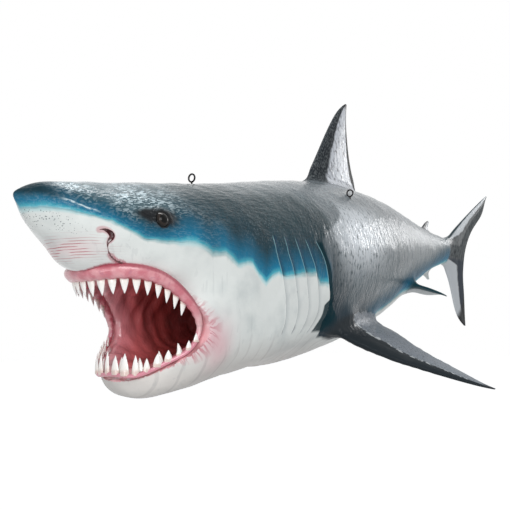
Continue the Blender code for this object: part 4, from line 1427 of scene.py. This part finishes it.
def skin_paint():
    """Dark back over a pale belly, with gills, brow, nostrils and fins, under a hammered clear coat."""
    paint = SkinPaint()
    mix, fade, noise, guide = paint.mix, paint.fade, paint.noise, paint.guide
    pores = fade(paint.cells(250), 0.30, 0.16) * fade(noise(60, 1), 0.36, 0.46)
    pores *= fade(guide("pore"), 0.25, 0.60)
    brow = (noise(110, 4) - 0.5) * 0.35 + guide("brow")
    colour = paint.layers(
        mix(fade(paint.scaled, -0.010, -0.003), belly_colour(paint), back_colour(paint)),
        *gill_coats(paint),
        (pores, (0.03, 0.06, 0.075)),
        (fade(brow, 0.08, 0.75), (0.004, 0.006, 0.008)),
        (paint.band(guide("eye_distance"), 0.0, 0.019, 0.0015), (0.003, 0.004, 0.005)),
        (fade(guide("nostril_distance"), 0.0080, 0.0040) * 0.55, (0.56, 0.20, 0.23)),
        *fin_coats(paint),
    )
    return paint.done(colour, hammered_coat(paint))


def lining_paint():
    """Dark red, deeper inside the mouth, and near black in nostrils, with painted shade in its folds and
    painted shade in the gill slits: near black under the dark back, grey under the pale belly.
    """
    paint = Paint("mouth lining", Roughness=0.30, Coat_Weight=0.8, Coat_Roughness=0.12)
    deep = paint.ramp(
        paint.guide("lip_distance"),
        (0.0, (0.80, 0.42, 0.45)), (0.030, (0.86, 0.33, 0.37)), (0.06, (0.74, 0.19, 0.20)),
        (0.11, (0.46, 0.085, 0.082)), (0.20, (0.29, 0.055, 0.052)),
    )
    # Painted shade in the lining's folds
    folds = paint.fade(paint.noise(26, 4, (1, 1, 0.35), 0.6), 0.36, 0.68)
    above = paint.fade(paint.guide("above_line"), -0.004, 0.004)
    # Painted shade in the gill slits
    slit = paint.mix(above, (0.34, 0.36, 0.37), (0.003, 0.010, 0.018))
    colour = paint.layers(
        deep,
        (folds * 0.60, paint.mix(0.65, deep, (0.05, 0.006, 0.006))),
        (paint.fade(paint.guide("nostril_distance"), 0.025, 0.017), (0.085, 0.006, 0.010)),
        (paint.fade(paint.guide("slit"), 0.3, 0.6), slit),
    )
    return paint.done(colour, paint.bump(paint.noise(60, 4, (1, 1, 0.4)), 0.003))


def gum_paint():
    """Mottled pink, redder along the lips and paler at the mouth's corners."""
    paint = Paint("gum", Roughness=0.30, Coat_Weight=0.5, Coat_Roughness=0.10)
    fade, noise = paint.fade, paint.noise
    lipward, facing = paint.guide("lipward"), paint.guide("facing")
    lines = paint.band(noise(60, 2, (0.6, 0.6, 1.6)), 0.49, 0.505, 0.01)
    upper = paint.layers(
        (0.56, 0.15, 0.19),
        (fade(noise(46, 3), 0.38, 0.68), (0.70, 0.31, 0.34)),
        (fade(noise(75, 2), 0.58, 0.70) * 0.4, (0.44, 0.17, 0.25)),
        (lines * 0.35, (0.40, 0.07, 0.11)),
        (fade(lipward, 0.86, 0.99), (0.36, 0.055, 0.085)),
    )
    lower = paint.ramp(
        (noise(50, 3) - 0.5) * 0.5 + lipward,
        (-1.0, (0.62, 0.24, 0.30)), (-0.30, (0.66, 0.22, 0.29)), (0.10, (0.62, 0.13, 0.22)),
        (0.60, (0.68, 0.28, 0.34)), (1.0, (0.74, 0.50, 0.52)),
    )
    colour = paint.layers(
        lower,
        (fade(facing, 0.0, -0.4), (0.50, 0.12, 0.15)),
        (paint.guide("upper"), upper),
        (fade(paint.guide("corner"), 0.80, 0.98) * fade(facing, 0.0, 0.5) * 0.75, (0.72, 0.50, 0.50)),
    )
    return paint.done(colour, paint.bump(noise(60, 3), 0.0012))


def tooth_paint():
    """Ivory, darker at the root, with faint upright stains."""
    paint = Paint("tooth resin", Roughness=0.16, Coat_Weight=0.6, Coat_Roughness=0.05)
    stops = (0.2, (0.72, 0.56, 0.50)), (0.36, (0.90, 0.86, 0.81)), (0.8, (0.95, 0.94, 0.92))
    stain = paint.fade(paint.noise(120, 3, (1, 1, 0.3)), 0.55, 0.8)
    colour = paint.mix(stain * 0.22, paint.ramp(paint.guide("out"), *stops), (0.62, 0.54, 0.42))
    return paint.done(colour, paint.bump(paint.noise(160, 2, (1, 1, 0.25)), 0.0008))


def eye_paint():
    """Near black glass with a faint brown ring round the pupil."""
    paint = Paint(
        "eye glass", Roughness=0.10, Specular_IOR_Level=0.10,
        Coat_Weight=0.2, Coat_Roughness=0.02, Coat_IOR=1.3,
    )
    colour = paint.ramp(
        (paint.noise(300, 3) - 0.5) * 0.12 + paint.guide("away"),
        (0.0, (0.002, 0.002, 0.002)), (0.36, (0.003, 0.003, 0.003)), (0.42, (0.030, 0.022, 0.018)),
        (0.56, (0.018, 0.014, 0.012)), (0.64, (0.003, 0.003, 0.003)),
    )
    return paint.done(colour)


def steel_paint():
    """Blackened wire, a little worn."""
    paint = Paint("black steel", Metallic=0.9, Roughness=0.38)
    worn = paint.fade(paint.noise(400, 3), 0.55, 0.75)
    colour = paint.mix(worn, (0.018, 0.018, 0.019), (0.07, 0.065, 0.06))
    return paint.done(colour, paint.bump(paint.noise(700, 2), 0.0003))


# The room

FLOOR_HEIGHT = -2.95

# Each lamp's name, place and aim from the nose tip, width, height and radiance
LAMPS = (
    ("flank softbox", (4.8, -0.7, 1.0), (1.1, -0.1, 0.0), 0.85, 0.85, 5.9),
    ("overhead softbox", (0.75, 0.15, 1.7), (0.4, 0.0, 0.0), 1.05, 0.55, 9.0),
    ("key softbox", (-1.6, -2.6, 1.0), (0.5, -0.1, -0.1), 1.9, 1.9, 6.3),
    ("mouth softbox", (-2.0, -0.3, -0.6), (0.4, 0.05, -0.2), 1.2, 0.8, 3.4),
)


def softbox(name, place, aim, width, height, radiance):
    """A soft rectangular light. Places are measured from the nose tip."""
    light = bpy.data.lights.new(name, "AREA")
    light.shape, light.size, light.size_y = "RECTANGLE", width, height
    light.energy = radiance * width * height * math.pi
    obj = bpy.data.objects.new(name, light)
    obj.location = Vector(place) - HANG_POINT
    obj.rotation_mode = "QUATERNION"
    obj.rotation_quaternion = (Vector(aim) - Vector(place)).to_track_quat("-Z", "Y")
    obj.visible_camera = False
    bpy.context.scene.collection.objects.link(obj)


def seen_directly(tree):
    """1 for what the camera sees directly, in a reflection or through glass, and 0 for light."""
    path, total = tree.nodes.new("ShaderNodeLightPath"), None
    for ray in ("Is Camera Ray", "Is Glossy Ray", "Is Transmission Ray"):
        either = tree.nodes.new("ShaderNodeMath")
        either.operation = "MAXIMUM"
        either.inputs[1].default_value = 0.0
        tree.links.new(path.outputs[ray], either.inputs[0])
        if total:
            tree.links.new(total, either.inputs[1])
        total = either.outputs[0]
    return total


def white_room():
    """White to the camera and in reflections, softer as a light."""
    world = bpy.data.worlds.new("white room")
    world.use_nodes = True
    bpy.context.scene.world = world
    tree = world.node_tree
    plain = tree.nodes["Background"]
    plain.inputs["Color"].default_value = (0.34, 0.35, 0.36, 1)
    seen = tree.nodes.new("ShaderNodeBackground")
    seen.inputs["Color"].default_value = (1, 1, 1, 1)
    pick = tree.nodes.new("ShaderNodeMixShader")
    tree.links.new(seen_directly(tree), pick.inputs[0])
    tree.links.new(plain.outputs[0], pick.inputs[1])
    tree.links.new(seen.outputs[0], pick.inputs[2])
    tree.links.new(pick.outputs[0], tree.nodes["World Output"].inputs[0])


def floor():
    """A wide pale floor that looks white."""
    shape = bmesh.new()
    bmesh.ops.create_grid(shape, x_segments=1, y_segments=1, size=40)
    bmesh.ops.translate(shape, verts=shape.verts, vec=(0, 0, FLOOR_HEIGHT + HANG_POINT.z))
    obj = add_object("floor", shape)
    finish = bpy.data.materials.new("pale floor")
    finish.use_nodes = True
    shader = finish.node_tree.nodes["Principled BSDF"]
    shader.inputs["Base Color"].default_value = (0.93, 0.93, 0.93, 1)
    shader.inputs["Roughness"].default_value = 0.9
    shader.inputs["Specular IOR Level"].default_value = 0.1
    tree = finish.node_tree
    glow, total = tree.nodes.new("ShaderNodeEmission"), tree.nodes.new("ShaderNodeAddShader")
    tree.links.new(seen_directly(tree), glow.inputs["Strength"])
    tree.links.new(shader.outputs[0], total.inputs[0])
    tree.links.new(glow.outputs[0], total.inputs[1])
    tree.links.new(total.outputs[0], tree.nodes["Material Output"].inputs[0])
    glow.inputs["Color"].default_value = (0.70, 0.70, 0.70, 1)
    obj.data.materials.append(finish)


def photo_camera():
    yaw, pitch, roll = (math.radians(a) for a in (CAMERA_YAW_DEG, CAMERA_PITCH_DEG, CAMERA_ROLL_DEG))
    ahead = Vector((math.cos(pitch) * math.sin(yaw), math.cos(pitch) * math.cos(yaw), math.sin(pitch)))
    level = Vector((math.cos(yaw), -math.sin(yaw), 0))
    up = level.cross(ahead)
    across = level * math.cos(roll) + up * math.sin(roll)
    over = up * math.cos(roll) - level * math.sin(roll)
    lens = bpy.data.cameras.new("photo camera")
    lens.sensor_width, lens.sensor_fit = SENSOR_MM, "HORIZONTAL"
    lens.lens = FOCAL_PIXELS / PHOTO_PIXELS * SENSOR_MM
    lens.clip_start, lens.clip_end = 0.05, 200
    camera = bpy.data.objects.new("photo camera", lens)
    turn = Matrix((across, over, -ahead)).transposed().to_4x4()
    camera.matrix_world = Matrix.Translation(Vector(CAMERA_PLACE) - HANG_POINT) @ turn
    bpy.context.scene.collection.objects.link(camera)
    bpy.context.scene.camera = camera


# Building the pieces

def shown(obj, slot, *finishes):
    """Paint a piece and tie it to the body; the slot it is given is not used."""
    obj.data.materials.clear()
    for finish in finishes:
        obj.data.materials.append(finish)
    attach(obj, "root")


def build_body():
    body = body_moulding()
    mesh = body.data
    lip = round_lips(mesh)
    mould(mesh, lip)
    paint_guides(mesh, lip)
    numbers = face_finish(mesh)
    mesh.shade_smooth()
    mesh.set_sharp_from_angle(angle=math.radians(SHARP_FOLD_DEG))
    shown(body, "painted_fibreglass", skin_paint(), lining_paint())
    mesh.polygons.foreach_set("material_index", (numbers == LINING).astype(np.int32))
    body.name = "shark_skin"
    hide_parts("shark_body")
    gums = add_object("gums", gum_shape())
    gum_guides(gums.data)
    shown(gums, "painted_fibreglass", gum_paint())


def hand_set(number, count, tall, half_width):
    """A lower tooth's length and half width. They vary along the row, and the side teeth are short."""
    sideways = abs(number - count - 0.5) / count
    tall *= 0.72 + 0.26 * abs(math.sin(2.1 * number))
    tall *= 1 - 0.40 * min(1, max(0, sideways - 0.25) / 0.3)
    return tall, half_width * (0.95 + 0.20 * math.sin(1.7 * number))


def build_teeth():
    finish = tooth_paint()
    rows = (
        ("upper_tooth", UPPER_GUM, UPPER_TEETH, UPPER_TOOTH_LENGTH, -1, UPPER_TOOTH_LEAN),
        ("lower_tooth", LOWER_GUM, LOWER_TEETH, LOWER_TOOTH_LENGTH, 1, LOWER_TOOTH_LEAN),
    )
    for name, gum, count, lengths, up, lean in rows:
        for number, tooth in enumerate(tooth_places(gum, count, lengths, up, lean), start=1):
            place, along, out, radius, tall, half_width = tooth
            if up > 0:
                place = place + (Vector(MOUTH_MIDDLE) - place).normalized() * LOWER_TOOTH_SHIFT
                tall, half_width = hand_set(number, count, tall, half_width)
            shape = tooth_shape(place, along, out, radius, tall, half_width, up)
            obj = add_object(f"{name}_blade_{number:02d}", shape)
            rise = (read_points(obj.data) + HANG - np.array(place)) @ np.array(out)
            give(obj.data, "out", (rise - radius + TOOTH_ROOT) / (tall + TOOTH_ROOT))
            shown(obj, "tooth_resin", finish)
            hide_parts(f"{name}_{number:02d}")
    inner = add_object("inner_teeth", inner_teeth())
    give(inner.data, "out", np.full(len(inner.data.vertices), 0.6))
    shown(inner, "tooth_resin", finish)


def build_eyes():
    finish = eye_paint()
    centre, outward = eye_centre(), TRUNK.outward(EYE_X, EYE_HEIGHT)
    left = bmesh.new()
    bmesh.ops.create_uvsphere(left, u_segments=56, v_segments=36, radius=EYE_RADIUS)
    bmesh.ops.translate(left, verts=left.verts, vec=centre)
    for name, shape, side in (("right_eye", mirrored(left), -1), ("left_eye", left, 1)):
        obj = add_object(f"{name}_ball", shape)
        ray = unit((read_points(obj.data) + HANG) * np.array((1, side, 1)) - np.array(centre))
        give(obj.data, "away", np.arccos(np.clip(ray @ np.array(outward), -1, 1)) / 1.5)
        shown(obj, "eye_glass", finish)
        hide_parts(name)


def build_screw_eyes():
    finish = steel_paint()
    for name, foot in screw_eye_places():
        shown(add_object(f"{name}_wire", screw_eye_shape(foot)), "black_steel", finish)
        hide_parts(name)


build_body()
build_teeth()
build_eyes()
build_screw_eyes()

for lamp in LAMPS:
    softbox(*lamp)
white_room()
floor()
photo_camera()

bpy.context.scene.view_settings.view_transform = "Standard"
